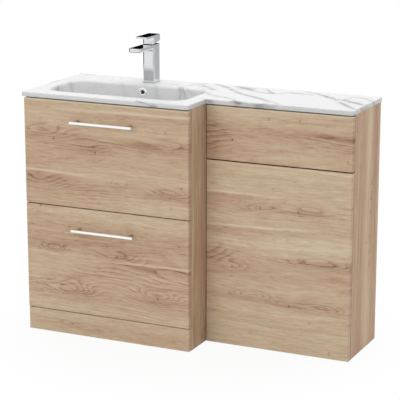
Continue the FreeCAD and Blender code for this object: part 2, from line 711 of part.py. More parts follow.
def carcass_fittings():
    """Cams, glides and corner blocks."""
    keep(group("cam_fittings", cams))
    glides = []
    columns = [("vanity_left", "left_face + board / 2", "carcass_front"),
               ("vanity_right", "joint_face - board / 2", "carcass_front"),
               ("wc_left", "joint_face + board / 2", "wc_carcass_front"),
               ("wc_right", "right_face - board / 2", "wc_carcass_front")]
    for tag, x, front in columns:
        glides.append(rod(f"glide_{tag}_front", "Z", x, f"{front} + glide_inset", "0",
                          "glide_diameter", "glide_height"))
        glides.append(rod(f"glide_{tag}_rear", "Z", x, "wall_plane - glide_inset", "0",
                          "glide_diameter", "glide_height"))
    keep(group("floor_glides", glides))
    blocks = []
    deep = ("wc_carcass_front", "block_size")
    far = "right_face - board - block_size"
    for row in ("low", "high"):
        height = ("block_" + row, "block_height")
        blocks.append(box(f"block_left_{row}", ("wc_inside", "block_size"), deep, height))
        blocks.append(box(f"block_right_{row}", (far, "block_size"), deep, height))
    height = ("plinth_block_lift", "block_height")
    deep = ("carcass_front", "block_size")
    blocks.append(box("block_plinth_left", ("vanity_inside", "block_size"), deep, height))
    blocks.append(box("block_plinth_right", ("joint_face - board - block_size", "block_size"), deep, height))
    keep(group("corner_blocks", blocks))


def runners(prefix, base):
    """One pair of three-part runners for a drawer whose box bottom is at base."""
    line = f"{base} + runner_lift"

    def channel(label, start, end, height, open_side):
        low = f"{line} - ({height}) / 2"
        high = f"{line} + ({height}) / 2"
        floor = f"{low} + runner_steel"
        roof = f"{high} - runner_steel"
        if open_side == "right":
            web = f"{start} + runner_steel"
            corners = [(start, low), (end, low), (end, floor), (web, floor),
                       (web, roof), (end, roof), (end, high), (start, high)]
        else:
            web = f"{end} - runner_steel"
            corners = [(start, low), (end, low), (end, high), (start, high),
                       (start, roof), (web, roof), (web, floor), (start, floor)]
        body = new_body(label)
        prism(body, label + "_pad", "XZ", "runner_front", "runner_length", corners)
        return body

    fixed = channel(f"{prefix}_fixed_left", "vanity_inside", "vanity_inside + runner_flange",
                    "runner_height", "right")
    other = mirrored(f"{prefix}_fixed_right", fixed, "vanity_middle")
    keep(group(f"{prefix}_cabinet_runners", [fixed, other]))

    mid_start = "vanity_inside + runner_steel + runner_play"
    mid_end = "vanity_inside + runner_space - runner_steel - runner_play"
    mid = channel(f"{prefix}_mid_left", mid_start, mid_end, "mid_height", "right")
    left = [mid]
    strip_x = (f"{mid_start} + runner_steel + runner_play", "strip_width")
    rear = ("runner_front + runner_length - strip_length", "strip_length")
    front = ("runner_front", "strip_length")
    thick = "race_gap - 2 * race_play"
    for tag, end, height in (("outer", rear, "mid_height"), ("inner", front, "slide_height")):
        high = f"{line} + {height} / 2 + race_play"
        low = f"{line} - {height} / 2 - race_gap + race_play"
        left.append(box(f"{prefix}_strip_{tag}_high", strip_x, end, (high, thick)))
        left.append(box(f"{prefix}_strip_{tag}_low", strip_x, end, (low, thick)))
    both = list(left)
    for number, piece in enumerate(left):
        both.append(mirrored(f"{prefix}_mid_right_{number}", piece, "vanity_middle"))
    keep(group(f"{prefix}_middle_runners", both))

    slide = channel(f"{prefix}_slide_left", "vanity_inside + 2 * (runner_steel + runner_play)",
                    "vanity_inside + runner_space", "slide_height", "left")
    other = mirrored(f"{prefix}_slide_right", slide, "vanity_middle")
    keep(group(f"{prefix}_drawer_runners", [slide, other]))


def handle(prefix, height):
    """A square bar on two posts, with its screws from behind the front."""
    body = new_body(f"{prefix}_drawer_handle")
    bar_front = "front_plane - handle_projection"
    bar_back = f"{bar_front} + handle_section"
    low = f"{height} - handle_section / 2"
    high = f"{height} + handle_section / 2"
    left = "vanity_middle - handle_centres / 2"
    right = "vanity_middle + handle_centres / 2"
    prism(body, f"{prefix}_bar", "YZ", "vanity_middle - handle_length / 2", "handle_length",
          rectangle((bar_front, bar_back), (low, high)))
    soften(body, f"{prefix}_bar_edges", "Fillet", lambda spot: near(spot.y, bar_front), "handle_edge_radius")
    for tag, place in (("left", left), ("right", right)):
        prism(body, f"{prefix}_post_{tag}", "XZ", bar_back, "handle_projection - handle_section",
              rectangle((f"{place} - handle_section / 2", f"{place} + handle_section / 2"), (low, high)))
    drill(body, f"{prefix}_post_holes", "XZ", "front_plane - screw_grip", "screw_grip",
          [(left, height, "screw_diameter"), (right, height, "screw_diameter")])
    keep(body)
    screws = []
    for tag, place in (("left", left), ("right", right)):
        shank = rod(f"{prefix}_screw_shank_{tag}", "Y", place, "front_plane - screw_grip", height,
                    "screw_diameter", "screw_grip + board")
        head = rod(f"{prefix}_screw_head_{tag}", "Y", place, "front_back", height,
                   "screw_head", "screw_head_thickness")
        screws.append(joined(f"{prefix}_screw_{tag}", [shank, head]))
    keep(group(f"{prefix}_handle_screws", screws))
    return [(left, height, "screw_diameter + 2 * fit_gap"), (right, height, "screw_diameter + 2 * fit_gap")]


def drawer(prefix, front_base, front_top, box_height, handle_drop, recess):
    """Front, box, handle and runners of one drawer."""
    holes = handle(prefix, f"{front_top} - {handle_drop}")
    front = faced_panel(f"{prefix}_drawer_front", ("left_face + front_reveal", "joint_face - front_reveal"),
                        (front_base, front_top), "front_plane")
    drill(front, f"{prefix}_front_holes", "XZ", "front_plane", "board", holes)
    keep(front)
    base = f"{front_base} + box_lift"
    tall = (base, box_height)
    sides = []
    deep = ("front_back", "drawer_length")
    for tag, x in (("left", "box_outside"), ("right", "box_outside + box_outer_width - drawer_board")):
        sides.append(box(f"{prefix}_drawer_side_{tag}", (x, "drawer_board"), deep, tall))
    keep(group(f"{prefix}_drawer_sides", sides))
    back = ("box_back - drawer_board", "drawer_board")
    floor_end = "box_back - drawer_board"
    right = "box_inside + box_inner_width"
    if not recess:
        keep(box(f"{prefix}_drawer_back", ("box_inside", "box_inner_width"), back, tall))
        keep(box(f"{prefix}_drawer_base", ("box_inside", "box_inner_width"),
                 ("front_back", "drawer_length - drawer_board"), (base, "drawer_board")))
    else:
        half = "(box_inner_width - recess_width) / 2"
        keep(group(f"{prefix}_drawer_back", [
            box(f"{prefix}_back_left", ("box_inside", half), back, tall),
            box(f"{prefix}_back_right", ("recess_right", half), back, tall)]))
        floor = new_body(f"{prefix}_drawer_base")
        prism(floor, f"{prefix}_floor", "XY", base, "drawer_board", [
            ("box_inside", "front_back"), (right, "front_back"), (right, floor_end),
            ("recess_right", floor_end), ("recess_right", "recess_line", "recess_corner"),
            ("recess_left", "recess_line", "recess_corner"), ("recess_left", floor_end),
            ("box_inside", floor_end)])
        keep(floor)
        liner = new_body(f"{prefix}_drawer_trap_surround")
        inner = "recess_corner - surround_wall"
        prism(liner, f"{prefix}_liner", "XY", base, box_height, [
            ("recess_left", "box_back"), ("recess_left", "recess_line", "recess_corner"),
            ("recess_right", "recess_line", "recess_corner"), ("recess_right", "box_back"),
            ("recess_right - surround_wall", "box_back"),
            ("recess_right - surround_wall", "recess_line + surround_wall", inner),
            ("recess_left + surround_wall", "recess_line + surround_wall", inner),
            ("recess_left + surround_wall", "box_back")])
        keep(liner)
    runners(prefix, base)


def bowl_section(body, name, level, width, reach, corner):
    """One rounded section of the bowl."""
    sketch = sketch_on(body, name, "XY", level)
    outline(sketch, rectangle((f"vanity_middle - ({width}) / 2", f"vanity_middle + ({width}) / 2"),
                              (f"bowl_middle - ({reach}) / 2", f"bowl_middle + ({reach}) / 2"), corner))
    return sketch


def basin_top():
    """One moulding: L-shaped slab, bowl, overflow duct and the holes for tap and waste."""
    body = new_body("basin_top")
    right = "joint_face + top_side_overhang"
    far = "right_face + top_side_overhang"
    near_left = "left_face - top_side_overhang"
    step = "wc_front_plane - top_front_overhang"
    prism(body, "slab", "XY", "carcass_height", "top_thickness", [
        (near_left, "slab_front", "top_corner_radius"), (right, "slab_front", "top_corner_radius"),
        (right, step), (far, step, "top_corner_radius"), (far, "wall_plane"), (near_left, "wall_plane")])
    soften(body, "slab_edge", "Fillet",
           lambda spot: near(spot.z, "top_surface") and spot.y < value("wall_plane") - 1e-3
           or near(spot.z, "top_surface") and near(spot.x, near_left) or near(spot.z, "top_surface")
           and near(spot.x, far), "top_edge_radius")
    shell = body.newObject("PartDesign::AdditiveLoft", "bowl_outside")
    upper = bowl_section(body, "bowl_outside_upper", "carcass_height", "bowl_width + 2 * bowl_wall",
                         "bowl_reach + 2 * bowl_wall", "bowl_corner + bowl_wall")
    lower = bowl_section(body, "bowl_outside_lower", "bowl_under", "bowl_floor_width + 2 * bowl_wall",
                         "bowl_floor_reach + 2 * bowl_wall", "bowl_floor_corner + bowl_wall")
    shell.Profile = upper
    shell.Sections = [lower]
    shell.Ruled = True
    doc.recompute()
    prism(body, "duct_block", "YZ", "vanity_middle - duct_width / 2 - duct_wall",
          "duct_width + 2 * duct_wall",
          rectangle(("waste_place", "duct_back + duct_wall"), ("duct_low", "carcass_height")))
    boss(body, "waste_boss", "XY", "duct_low", "bowl_floor - (duct_low)",
         [("vanity_middle", "waste_place", "waste_boss_diameter")])
    hollow = body.newObject("PartDesign::SubtractiveLoft", "bowl_inside")
    upper = bowl_section(body, "bowl_inside_upper", "top_surface", "bowl_width", "bowl_reach", "bowl_corner")
    lower = bowl_section(body, "bowl_inside_lower", "bowl_floor", "bowl_floor_width", "bowl_floor_reach",
                         "bowl_floor_corner")
    hollow.Profile = upper
    hollow.Sections = [lower]
    hollow.Ruled = True
    doc.recompute()
    reach = value("bowl_width") / 2 + 1
    middle = value("vanity_middle")

    def in_bowl(spot):
        return abs(spot.x - middle) < reach and value("bowl_front") - 1 < spot.y < value("bowl_rear") + 1

    soften(body, "bowl_sweep", "Fillet", lambda spot: near(spot.z, "bowl_floor") and in_bowl(spot),
           "bowl_floor_radius")
    soften(body, "bowl_rim", "Fillet", lambda spot: near(spot.z, "top_surface") and in_bowl(spot),
           "bowl_rim_radius")
    roof = "overflow_height + overflow_hole_diameter / 2"
    notch(body, "duct", "YZ", "vanity_middle - duct_width / 2", "duct_width", [
        ("waste_place", "bowl_under - duct_gap"), ("duct_back", "bowl_under - duct_gap"), ("duct_back", roof),
        ("duct_front", roof), ("duct_front", "bowl_under"), ("waste_place", "bowl_under")])
    drill(body, "overflow_hole", "XZ", "bowl_middle", "duct_front + duct_gap / 2 - (bowl_middle)",
          [("vanity_middle", "overflow_height", "overflow_hole_diameter")])
    drill(body, "waste_hole", "XY", "duct_low", "bowl_floor - (duct_low)",
          [("vanity_middle", "waste_place", "waste_hole_diameter")])
    drill(body, "waste_recess", "XY", "waste_seat", "waste_recess_depth",
          [("vanity_middle", "waste_place", "waste_recess_diameter")])
    drill(body, "tap_hole", "XY", "carcass_height", "top_thickness",
          [("vanity_middle", "tap_place", "tap_hole_diameter")])
    keep(body)


def overflow_ring():
    """Ring pressed into the overflow, square to the sloping wall."""
    body = new_body("overflow_ring")
    turned(body, [("overflow_ring_bore / 2", "-overflow_sleeve_length"),
                  ("overflow_sleeve_diameter / 2", "-overflow_sleeve_length"),
                  ("overflow_sleeve_diameter / 2", "0"), ("overflow_ring_diameter / 2", "0"),
                  ("overflow_ring_diameter / 2", "0.3 * overflow_ring_thickness"),
                  ("overflow_ring_diameter / 2 - 0.35 * overflow_ring_dome",
                   "0.75 * overflow_ring_thickness"),
                  ("overflow_ring_diameter / 2 - overflow_ring_dome", "overflow_ring_thickness"),
                  ("overflow_ring_bore / 2 + 0.5 * overflow_ring_dome", "overflow_ring_thickness"),
                  ("overflow_ring_bore / 2", "0.6 * overflow_ring_thickness")])
    body.Placement = FreeCAD.Placement(FreeCAD.Vector(), FreeCAD.Rotation(FreeCAD.Vector(1, 0, 0), 80))
    bind(body, "Placement.Rotation.Angle", "90deg - atan(bowl_lean)")
    put(body, "vanity_middle", "bowl_rear - bowl_lean * overflow_drop", "overflow_height")
    keep(body)


def waste():
    """Slotted waste with a plug that rises on a guided stem."""
    body = new_body("waste_body")
    thread_end = "-waste_tail_length + trap_thread_length"
    groove = "waste_tail_diameter / 2 - thread_relief_depth"
    turned(body, [("waste_bore / 2", "-waste_tail_length"), ("waste_tail_diameter / 2", "-waste_tail_length"),
                  ("waste_tail_diameter / 2", thread_end), (groove, thread_end),
                  (groove, f"{thread_end} + thread_relief_width"),
                  ("waste_tail_diameter / 2", f"{thread_end} + thread_relief_width"),
                  ("waste_tail_diameter / 2", "0"), ("waste_flange_diameter / 2", "0"),
                  ("waste_flange_diameter / 2", "waste_flange_thickness"),
                  ("waste_bore / 2", "waste_flange_thickness")])
    root = "waste_tail_diameter / 2 - spider_skin"
    prism(body, "spider_bar", "XY", "-spider_drop", "spider_height",
          rectangle((f"-({root})", root), ("-spider_width / 2", "spider_width / 2")))
    boss(body, "spider_centre", "XY", "-spider_drop", "spider_height", [("0", "0", "spider_hub")])
    drill(body, "spider_hole", "XY", "-spider_drop", "spider_height",
          [("0", "0", "plug_stem_diameter + 2 * running_gap")])
    notch(body, "overflow_windows", "XZ", "-waste_tail_diameter / 2", "waste_tail_diameter",
          rectangle(("-waste_slot_width / 2", "waste_slot_width / 2"),
                    ("-waste_slot_drop - waste_slot_height", "-waste_slot_drop")))
    keep(put(body, "vanity_middle", "waste_place", "waste_seat"))
    plug = new_body("waste_plug")
    turned(plug, [("0", "-plug_stem_length"), ("plug_stem_diameter / 2", "-plug_stem_length"),
                  ("plug_stem_diameter / 2", "0"), ("plug_diameter / 2 - plug_edge", "0"),
                  ("plug_diameter / 2", "plug_edge"), ("plug_diameter / 2", "plug_thickness - plug_edge"),
                  ("plug_diameter / 2 - plug_edge", "plug_thickness"), ("0", "plug_thickness")])
    keep(put(plug, "vanity_middle", "waste_place", "waste_seat + waste_flange_thickness"))
    seal = new_body("waste_seal")
    inner = "waste_tail_diameter / 2 + fit_gap"
    turned(seal, rectangle((inner, "waste_seal_diameter / 2"), ("-waste_seal_thickness", "0")))
    keep(put(seal, "vanity_middle", "waste_place", "duct_low"))
    nut = new_body("waste_backnut")
    prism(nut, "backnut_blank", "XY", "-backnut_height", "backnut_height", hexagon("0", "0", "backnut_flats"))
    drill(nut, "backnut_thread", "XY", "-backnut_height", "backnut_height", [("0", "0", f"2 * ({inner})")])
    keep(put(nut, "vanity_middle", "waste_place", "duct_low - waste_seal_thickness"))


def tap_fixings():
    """Gasket, base plate, stud, horseshoe plate and nut."""
    side = ("vanity_middle - tap_width / 2 - tap_base_margin",
            "vanity_middle + tap_width / 2 + tap_base_margin")
    deep = ("tap_front - tap_base_margin", "tap_rear + tap_base_margin")
    for label, level, thick in (("tap_gasket", "top_surface", "gasket_thickness"),
                                ("tap_base_plate", "top_surface + gasket_thickness", "tap_base_thickness")):
        body = new_body(label)
        prism(body, label + "_pad", "XY", level, thick,
              rectangle(side, deep, "tap_edge_radius + tap_base_margin"))
        drill(body, label + "_hole", "XY", level, thick, [("vanity_middle", "tap_place", "tap_base_hole")])
        keep(body)
    stud_place = "tap_place + stud_offset"
    keep(rod("tap_stud", "Z", "vanity_middle", stud_place, "carcass_height - stud_drop", "stud_diameter",
             "tap_base + stud_grip - (carcass_height - stud_drop)"))
    plate = new_body("tap_clamp_plate")
    level = "carcass_height - clamp_thickness"
    boss(plate, "clamp_disc", "XY", level, "clamp_thickness",
         [("vanity_middle", "tap_place", "clamp_diameter")])
    notch(plate, "clamp_opening", "XY", level, "clamp_thickness",
          rectangle(("vanity_middle - clamp_slot / 2", "vanity_middle + clamp_slot / 2"),
                    ("tap_place - clamp_diameter", "tap_place + clamp_bridge")))
    drill(plate, "clamp_stud_hole", "XY", level, "clamp_thickness",
          [("vanity_middle", stud_place, "stud_diameter + 2 * fit_gap")])
    keep(plate)
    nut = new_body("tap_clamp_nut")
    low = f"{level} - clamp_nut_height"
    prism(nut, "clamp_nut_blank", "XY", low, "clamp_nut_height",
          hexagon("vanity_middle", stud_place, "clamp_nut_flats"))
    drill(nut, "clamp_nut_hole", "XY", low, "clamp_nut_height",
          [("vanity_middle", stud_place, "stud_diameter + fit_gap")])
    keep(nut)


def tap_body():
    """Square column with a flat spout, bored for the cartridge, inlets, stud and outlet."""
    body = new_body("tap_body")
    tip = "tap_front - spout_reach"
    under = "column_top - spout_thickness"
    prism(body, "tap_profile", "YZ", "vanity_middle - tap_width / 2", "tap_width", [
        (tip, under), ("tap_front", under), ("tap_front", "tap_base"), ("tap_rear", "tap_base"),
        ("tap_rear", "column_top"), (tip, "column_top")])
    soften(body, "spout_root", "Fillet",
           lambda spot: near(spot.y, "tap_front") and near(spot.z, under), "spout_fillet")
    soften(body, "rounded_edges", "Fillet",
           lambda spot: near(abs(spot.x - value("vanity_middle")), "tap_width / 2")
           and (near(spot.y, tip) or near(spot.y, "tap_front") or near(spot.y, "tap_rear"))
           or near(spot.y, tip) and near(spot.z, under), "tap_edge_radius")
    drill(body, "cartridge_bore", "XY", "cartridge_base", "cartridge_seat",
          [("vanity_middle", "tap_place", "cartridge_diameter + fit_gap")])
    drill(body, "inlets", "XY", "tap_base", "inlet_depth",
          [("vanity_middle - inlet_spread / 2", "tap_place - inlet_offset", "inlet_diameter"),
           ("vanity_middle + inlet_spread / 2", "tap_place - inlet_offset", "inlet_diameter")])
    drill(body, "stud_hole", "XY", "tap_base", "stud_grip",
          [("vanity_middle", "tap_place + stud_offset", "stud_diameter + fit_gap")])
    drill(body, "outlet", "XY", under, "aerator_depth",
          [("vanity_middle", f"{tip} + aerator_setback", "aerator_diameter + fit_gap")])
    keep(body)
    keep(rod("tap_aerator", "Z", "vanity_middle", f"{tip} + aerator_setback",
             f"{under} + aerator_depth - aerator_height", "aerator_diameter", "aerator_height"))


def tap_works():
    """Cartridge, ring nut, turning carrier, stem and lever."""
    axis = ("vanity_middle", "tap_place")
    cartridge = new_body("tap_cartridge")
    boss(cartridge, "cartridge_blank", "XY", "cartridge_base", "cartridge_height",
         [axis + ("cartridge_diameter",)])
    carrier_base = "column_top - carrier_drop - carrier_height"
    drill(cartridge, "carrier_bore", "XY", carrier_base,
          f"cartridge_base + cartridge_height - ({carrier_base})",
          [axis + ("carrier_diameter + 2 * running_gap",)])
    keep(cartridge)
    nut = new_body("tap_cartridge_nut")
    level = "cartridge_base + cartridge_height"
    tall = f"column_top + nut_collar_height - ({level})"
    boss(nut, "ring_blank", "XY", level, f"column_top - ({level})", [axis + ("cartridge_diameter",)])
    boss(nut, "ring_collar", "XY", "column_top", "nut_collar_height", [axis + ("nut_collar_diameter",)])
    drill(nut, "ring_bore", "XY", level, tall, [axis + ("cartridge_nut_bore",)])
    keep(nut)
    carrier = new_body("tap_stem_carrier")
    boss(carrier, "carrier_blank", "XY", carrier_base, "carrier_height", [axis + ("carrier_diameter",)])
    slot_base = "pivot_height - stem_foot - stem_swing"
    half = "(stem_width / 2 + stem_clearance)"
    notch(carrier, "stem_slot", "XY", slot_base, f"column_top - ({slot_base})",
          rectangle((f"vanity_middle - {half}", f"vanity_middle + {half}"),
                    ("tap_place - carrier_diameter", "tap_place + carrier_diameter")))
    drill(carrier, "pin_hole", "YZ", "vanity_middle - carrier_diameter / 2", "carrier_diameter",
          [("tap_place", "pivot_height", "stem_pin_diameter + 2 * running_gap")])
    keep(carrier)
    stem = new_body("tap_stem")
    square = rectangle(("vanity_middle - stem_width / 2", "vanity_middle + stem_width / 2"),
                       ("tap_place - stem_width / 2", "tap_place + stem_width / 2"))
    foot = "pivot_height - stem_foot"
    prism(stem, "stem_bar", "XY", foot, f"column_top + stem_reach - ({foot})", square)
    boss(stem, "stem_pin", "YZ", "vanity_middle - stem_pin_length / 2", "stem_pin_length",
         [("tap_place", "pivot_height", "stem_pin_diameter")])
    keep(stem)
    lever = new_body("tap_lever")
    tip = "tap_front - lever_reach"
    prism(lever, "lever_profile", "YZ", "vanity_middle - tap_width / 2", "tap_width", [
        ("tap_front", "lever_base"), ("tap_rear", "lever_base + lever_rise"), ("tap_rear", "lever_top"),
        (tip, "lever_top"), (tip, "plate_base"), ("tap_front", "plate_base")])
    soften(lever, "lever_edges", "Fillet",
           lambda spot: near(abs(spot.x - value("vanity_middle")), "tap_width / 2")
           and (near(spot.y, tip) or near(spot.y, "tap_front") or near(spot.y, "tap_rear"))
           and abs(spot.z - value("lever_top")) > 1e-4, "tap_edge_radius")
    notch(lever, "stem_socket", "XY", "column_top", "stem_reach", square)
    height = "plate_base - grub_drop"
    drill(lever, "grub_hole", "XZ", "tap_place", "tap_depth / 2",
          [("vanity_middle", height, "grub_diameter + fit_gap")])
    keep(lever)
    keep(rod("lever_grub_screw", "Y", "vanity_middle", "tap_place + stem_width / 2", height, "grub_diameter",
             "grub_length"))


carcass_sides()
vanity_boards()
wc_boards()
carcass_fittings()
drawer("top", "top_front_base", "fronts_top", "top_box_height", "handle_drop_top", True)
drawer("bottom", "bottom_front_base", "bottom_front_top", "bottom_box_height", "handle_drop_bottom", False)
basin_top()
overflow_ring()
waste()
tap_fixings()
tap_body()
tap_works()
doc.recompute()

# Nothing is written unless every object and every sub-part is sound.
faults = [obj.Name for obj in doc.Objects if "Invalid" in obj.State or "Error" in obj.State]
for part in parts:
    if part.Shape.isNull() or not part.Shape.isValid() or not part.Shape.Solids:
        faults.append(part.Label)
if faults:
    raise RuntimeError("faulty: " + ", ".join(faults))
os.makedirs("parts", exist_ok=True)
for part in parts:
    part.Shape.exportStep(f"parts/{part.Label}.step")
print(len(parts), "sub-parts,", sum(len(part.Shape.Solids) for part in parts), "solids")
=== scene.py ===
# %% [markdown]
# # A vanity unit with a toilet unit beside it
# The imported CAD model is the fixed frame: every board, runner and tap part is already in place, in metres. This lesson
# gives each of them its finish, adds the small things that CAD leaves out, and lights the whole as a studio would.

# %% Load the frame
import json
import math

import bmesh
import bpy
from mathutils import Matrix, Vector


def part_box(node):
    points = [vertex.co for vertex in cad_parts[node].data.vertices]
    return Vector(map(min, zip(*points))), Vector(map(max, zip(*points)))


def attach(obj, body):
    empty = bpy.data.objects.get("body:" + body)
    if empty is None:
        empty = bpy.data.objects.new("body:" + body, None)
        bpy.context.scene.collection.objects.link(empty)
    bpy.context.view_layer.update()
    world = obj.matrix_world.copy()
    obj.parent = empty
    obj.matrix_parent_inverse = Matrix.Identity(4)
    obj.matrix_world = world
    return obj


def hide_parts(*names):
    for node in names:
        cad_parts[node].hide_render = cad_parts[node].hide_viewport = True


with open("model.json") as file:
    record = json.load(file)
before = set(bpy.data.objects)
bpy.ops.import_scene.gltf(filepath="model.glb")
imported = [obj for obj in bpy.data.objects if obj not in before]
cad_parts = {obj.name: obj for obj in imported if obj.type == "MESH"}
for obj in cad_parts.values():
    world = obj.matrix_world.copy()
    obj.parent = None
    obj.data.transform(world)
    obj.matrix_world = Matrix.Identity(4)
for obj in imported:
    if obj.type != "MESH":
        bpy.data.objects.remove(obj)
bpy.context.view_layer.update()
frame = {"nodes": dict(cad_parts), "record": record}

nodes = frame["nodes"]
scene = bpy.context.scene
scene.view_settings.view_transform = "Standard"

# %% [markdown]
# ## A few words for node trees
# A finish is a tree of small sums on the place of a point. It could be wired by hand in the shader editor, but then
# every board would need the same work again. So a few helpers say each sum in one line: they add a node, join its
# sockets to plain values or to other sockets, and hand back the result.

# %% Nodes
def feed(tree, socket, value):
    """Join a socket to another one, or give it a plain value."""
    if isinstance(value, bpy.types.NodeSocket):
        tree.links.new(value, socket)
    else:
        socket.default_value = value


def add(tree, kind, settings=(), **values):
    """Place a node, set its options and feed its sockets; underscores in the names stand for spaces."""
    made = tree.nodes.new(kind)
    for option, choice in dict(settings).items():
        setattr(made, option, choice)
    for name, value in values.items():
        feed(tree, made.inputs[name.replace("_", " ")], value)
    return made.outputs[0]


print("helpers for nodes are ready")

# %% Sums
def sum_node(tree, kind, operation, values):
    """A node for one sum, with its sockets fed in order."""
    made = tree.nodes.new(kind)
    made.operation = operation
    for socket, value in zip(made.inputs, values):
        feed(tree, socket, value)
    return made.outputs


def calc(tree, operation, *values):
    """One sum on numbers."""
    return sum_node(tree, "ShaderNodeMath", operation, values)[0]


def times(tree, first, second):
    """A product of two numbers."""
    return calc(tree, "MULTIPLY", first, second)


def weigh(tree, layer, weight, base):
    """A layer times its weight, on top of a base."""
    return calc(tree, "MULTIPLY_ADD", layer, weight, base)


def vector_calc(tree, operation, *values):
    """One sum on vectors."""
    gives_number = operation in ("DOT_PRODUCT", "LENGTH")
    return sum_node(tree, "ShaderNodeVectorMath", operation, values)["Value" if gives_number else "Vector"]


def axes_of(tree, vector):
    """The three numbers of a vector."""
    made = tree.nodes.new("ShaderNodeSeparateXYZ")
    feed(tree, made.inputs[0], vector)
    return made.outputs


def vector_of(tree, *axes):
    """A vector from up to three numbers."""
    made = tree.nodes.new("ShaderNodeCombineXYZ")
    for socket, value in zip(made.inputs, axes):
        feed(tree, socket, value)
    return made.outputs[0]


print("helpers for sums are ready")

# %% Patterns
def noise(tree, vector, per_metre, detail=2.0, roughness=0.5):
    """Soft noise with so many features in a metre along each axis."""
    scaled = vector_calc(tree, "MULTIPLY", vector, per_metre)
    return add(tree, "ShaderNodeTexNoise", Vector=scaled, Scale=1.0, Detail=detail, Roughness=roughness)


def centred(tree, value):
    """A noise about zero instead of a half."""
    return calc(tree, "SUBTRACT", value, 0.5)


def fade(tree, value, low, high):
    """0 at low, 1 at high, smooth between."""
    smooth = {"interpolation_type": "SMOOTHSTEP"}
    return add(tree, "ShaderNodeMapRange", smooth, Value=value, From_Min=low, From_Max=high)


def bell(tree, value, width):
    """1 at zero, falling off over a width on both sides."""
    scaled = calc(tree, "DIVIDE", value, width)
    return calc(tree, "EXPONENT", times(tree, times(tree, scaled, scaled), -1.0))


print("helpers for patterns are ready")

# %% Colours
def linear(colour):
    """An sRGB colour from 0 to 255 as Blender's linear one."""
    parts = [c / 255 for c in colour]
    return [c / 12.92 if c <= 0.04045 else ((c + 0.055) / 1.055) ** 2.4 for c in parts] + [1.0]


def ramp(tree, value, stops):
    """A colour for each number; a stop is a place and an sRGB colour."""
    made = tree.nodes.new("ShaderNodeValToRGB")
    band = made.color_ramp
    while len(band.elements) < len(stops):
        band.elements.new(0.5)
    for element, (place, colour) in zip(band.elements, stops):
        element.position = place
        element.color = linear(colour)
    feed(tree, made.inputs["Fac"], value)
    return made.outputs["Color"]


print("white is", linear((255, 255, 255)), "and middle grey", linear((128, 128, 128)))

# %% Groups
VECTOR, VALUE, COLOUR = "NodeSocketVector", "NodeSocketFloat", "NodeSocketColor"


def shader_group(name, inputs, outputs):
    """An empty group with named sockets; gives the tree, its inputs and its outputs."""
    tree = bpy.data.node_groups.new(name, "ShaderNodeTree")
    for way, sockets in (("INPUT", inputs), ("OUTPUT", outputs)):
        for label, kind in sockets.items():
            tree.interface.new_socket(name=label, in_out=way, socket_type=kind)
    print("group", name)
    return tree, tree.nodes.new("NodeGroupInput").outputs, tree.nodes.new("NodeGroupOutput").inputs


def use_group(tree, group, **values):
    """Place a group in a tree, with a value or a socket for each of its inputs."""
    made = tree.nodes.new("ShaderNodeGroup")
    made.node_tree = group
    for name, value in values.items():
        feed(tree, made.inputs[name.capitalize()], value)
    return made.outputs


print("socket kinds", VECTOR, VALUE, COLOUR)

# %% Finishes
def new_finish(name):
    """A material; gives it with its tree and the inputs of its Principled shader."""
    made = bpy.data.materials.new(name)
    made.use_nodes = True
    return made, made.node_tree, made.node_tree.nodes["Principled BSDF"].inputs


def place_of(tree):
    """Where a point is, in the part's own metres."""
    return tree.nodes.new("ShaderNodeTexCoord").outputs["Object"]


def bump(tree, shader, height, distance, strength):
    """Fine relief from a height."""
    feed(tree, shader["Normal"], add(tree, "ShaderNodeBump", Distance=distance, Strength=strength, Height=height))


def paint(names, finish):
    """Give CAD nodes one finish."""
    for name in names:
        slots = nodes[name].data.materials
        slots.clear()
        slots.append(finish)
    print(finish.name, "on", ", ".join(names))


print("helpers for finishes are ready")

# %% [markdown]
# ## Oak decor
# The boards are faced with a printed oak decor: staves of uneven height, long streaks, growth lines that bend round
# knots, and here and there a pale line of sapwood with a darker stave under it. A picture of oak could be laid on each
# board, but it would repeat and blur close up, so layers of noise make the decor. A growth line is a level line of a
# smooth height, as on a map, and a knot is then only a hill that is added to that height. All layers add to one tone,
# and one ramp turns the tone into colour.

# %% Knots
def make_knot():
    """A hill of the growth lines, a fleck or a patch: 1 at its centre."""
    tree, given, result = shader_group(
        "knot", {"Vector": VECTOR, "Centre": VECTOR, "Reach": VECTOR}, {"Hill": VALUE})
    away = vector_calc(tree, "SUBTRACT", given["Vector"], given["Centre"])
    away = vector_calc(tree, "DIVIDE", away, given["Reach"])
    feed(tree, result["Hill"], bell(tree, vector_calc(tree, "LENGTH", away), 1.0))
    return tree


WOBBLE_NOISE = ((6.0, 14.0, 1.0), (4.5, 10.0, 1.0))


def make_wobble():
    """A place that wanders a little, so that a knot isn't a neat oval."""
    tree, given, result = shader_group(
        "wobble", {"Vector": VECTOR, "Offset": VECTOR, "Amount": VECTOR}, {"Place": VECTOR})
    moved = vector_calc(tree, "ADD", given["Vector"], given["Offset"])
    ways = vector_of(tree, *[centred(tree, noise(tree, moved, per_metre, 1.0)) for per_metre in WOBBLE_NOISE])
    wander = vector_calc(tree, "MULTIPLY", ways, given["Amount"])
    feed(tree, result["Place"], vector_calc(tree, "ADD", given["Vector"], wander))
    return tree


knot, wobble = make_knot(), make_wobble()

# %% Sapwood lines
# tones are shares of the ramp, and lengths are metres
SAP_PALE, SAP_WIDTH = 0.34, 0.0045
SAP_START, SAP_THINS_FROM = 0.03, 0.3
SAP_SWAY, SAP_SWAY_NOISE = 0.012, (7.0, 2.0, 1.0)
UNDER_DARK, UNDER_TOP, UNDER_FOOT = 0.15, (0.002, -0.006), (-0.06, -0.012)


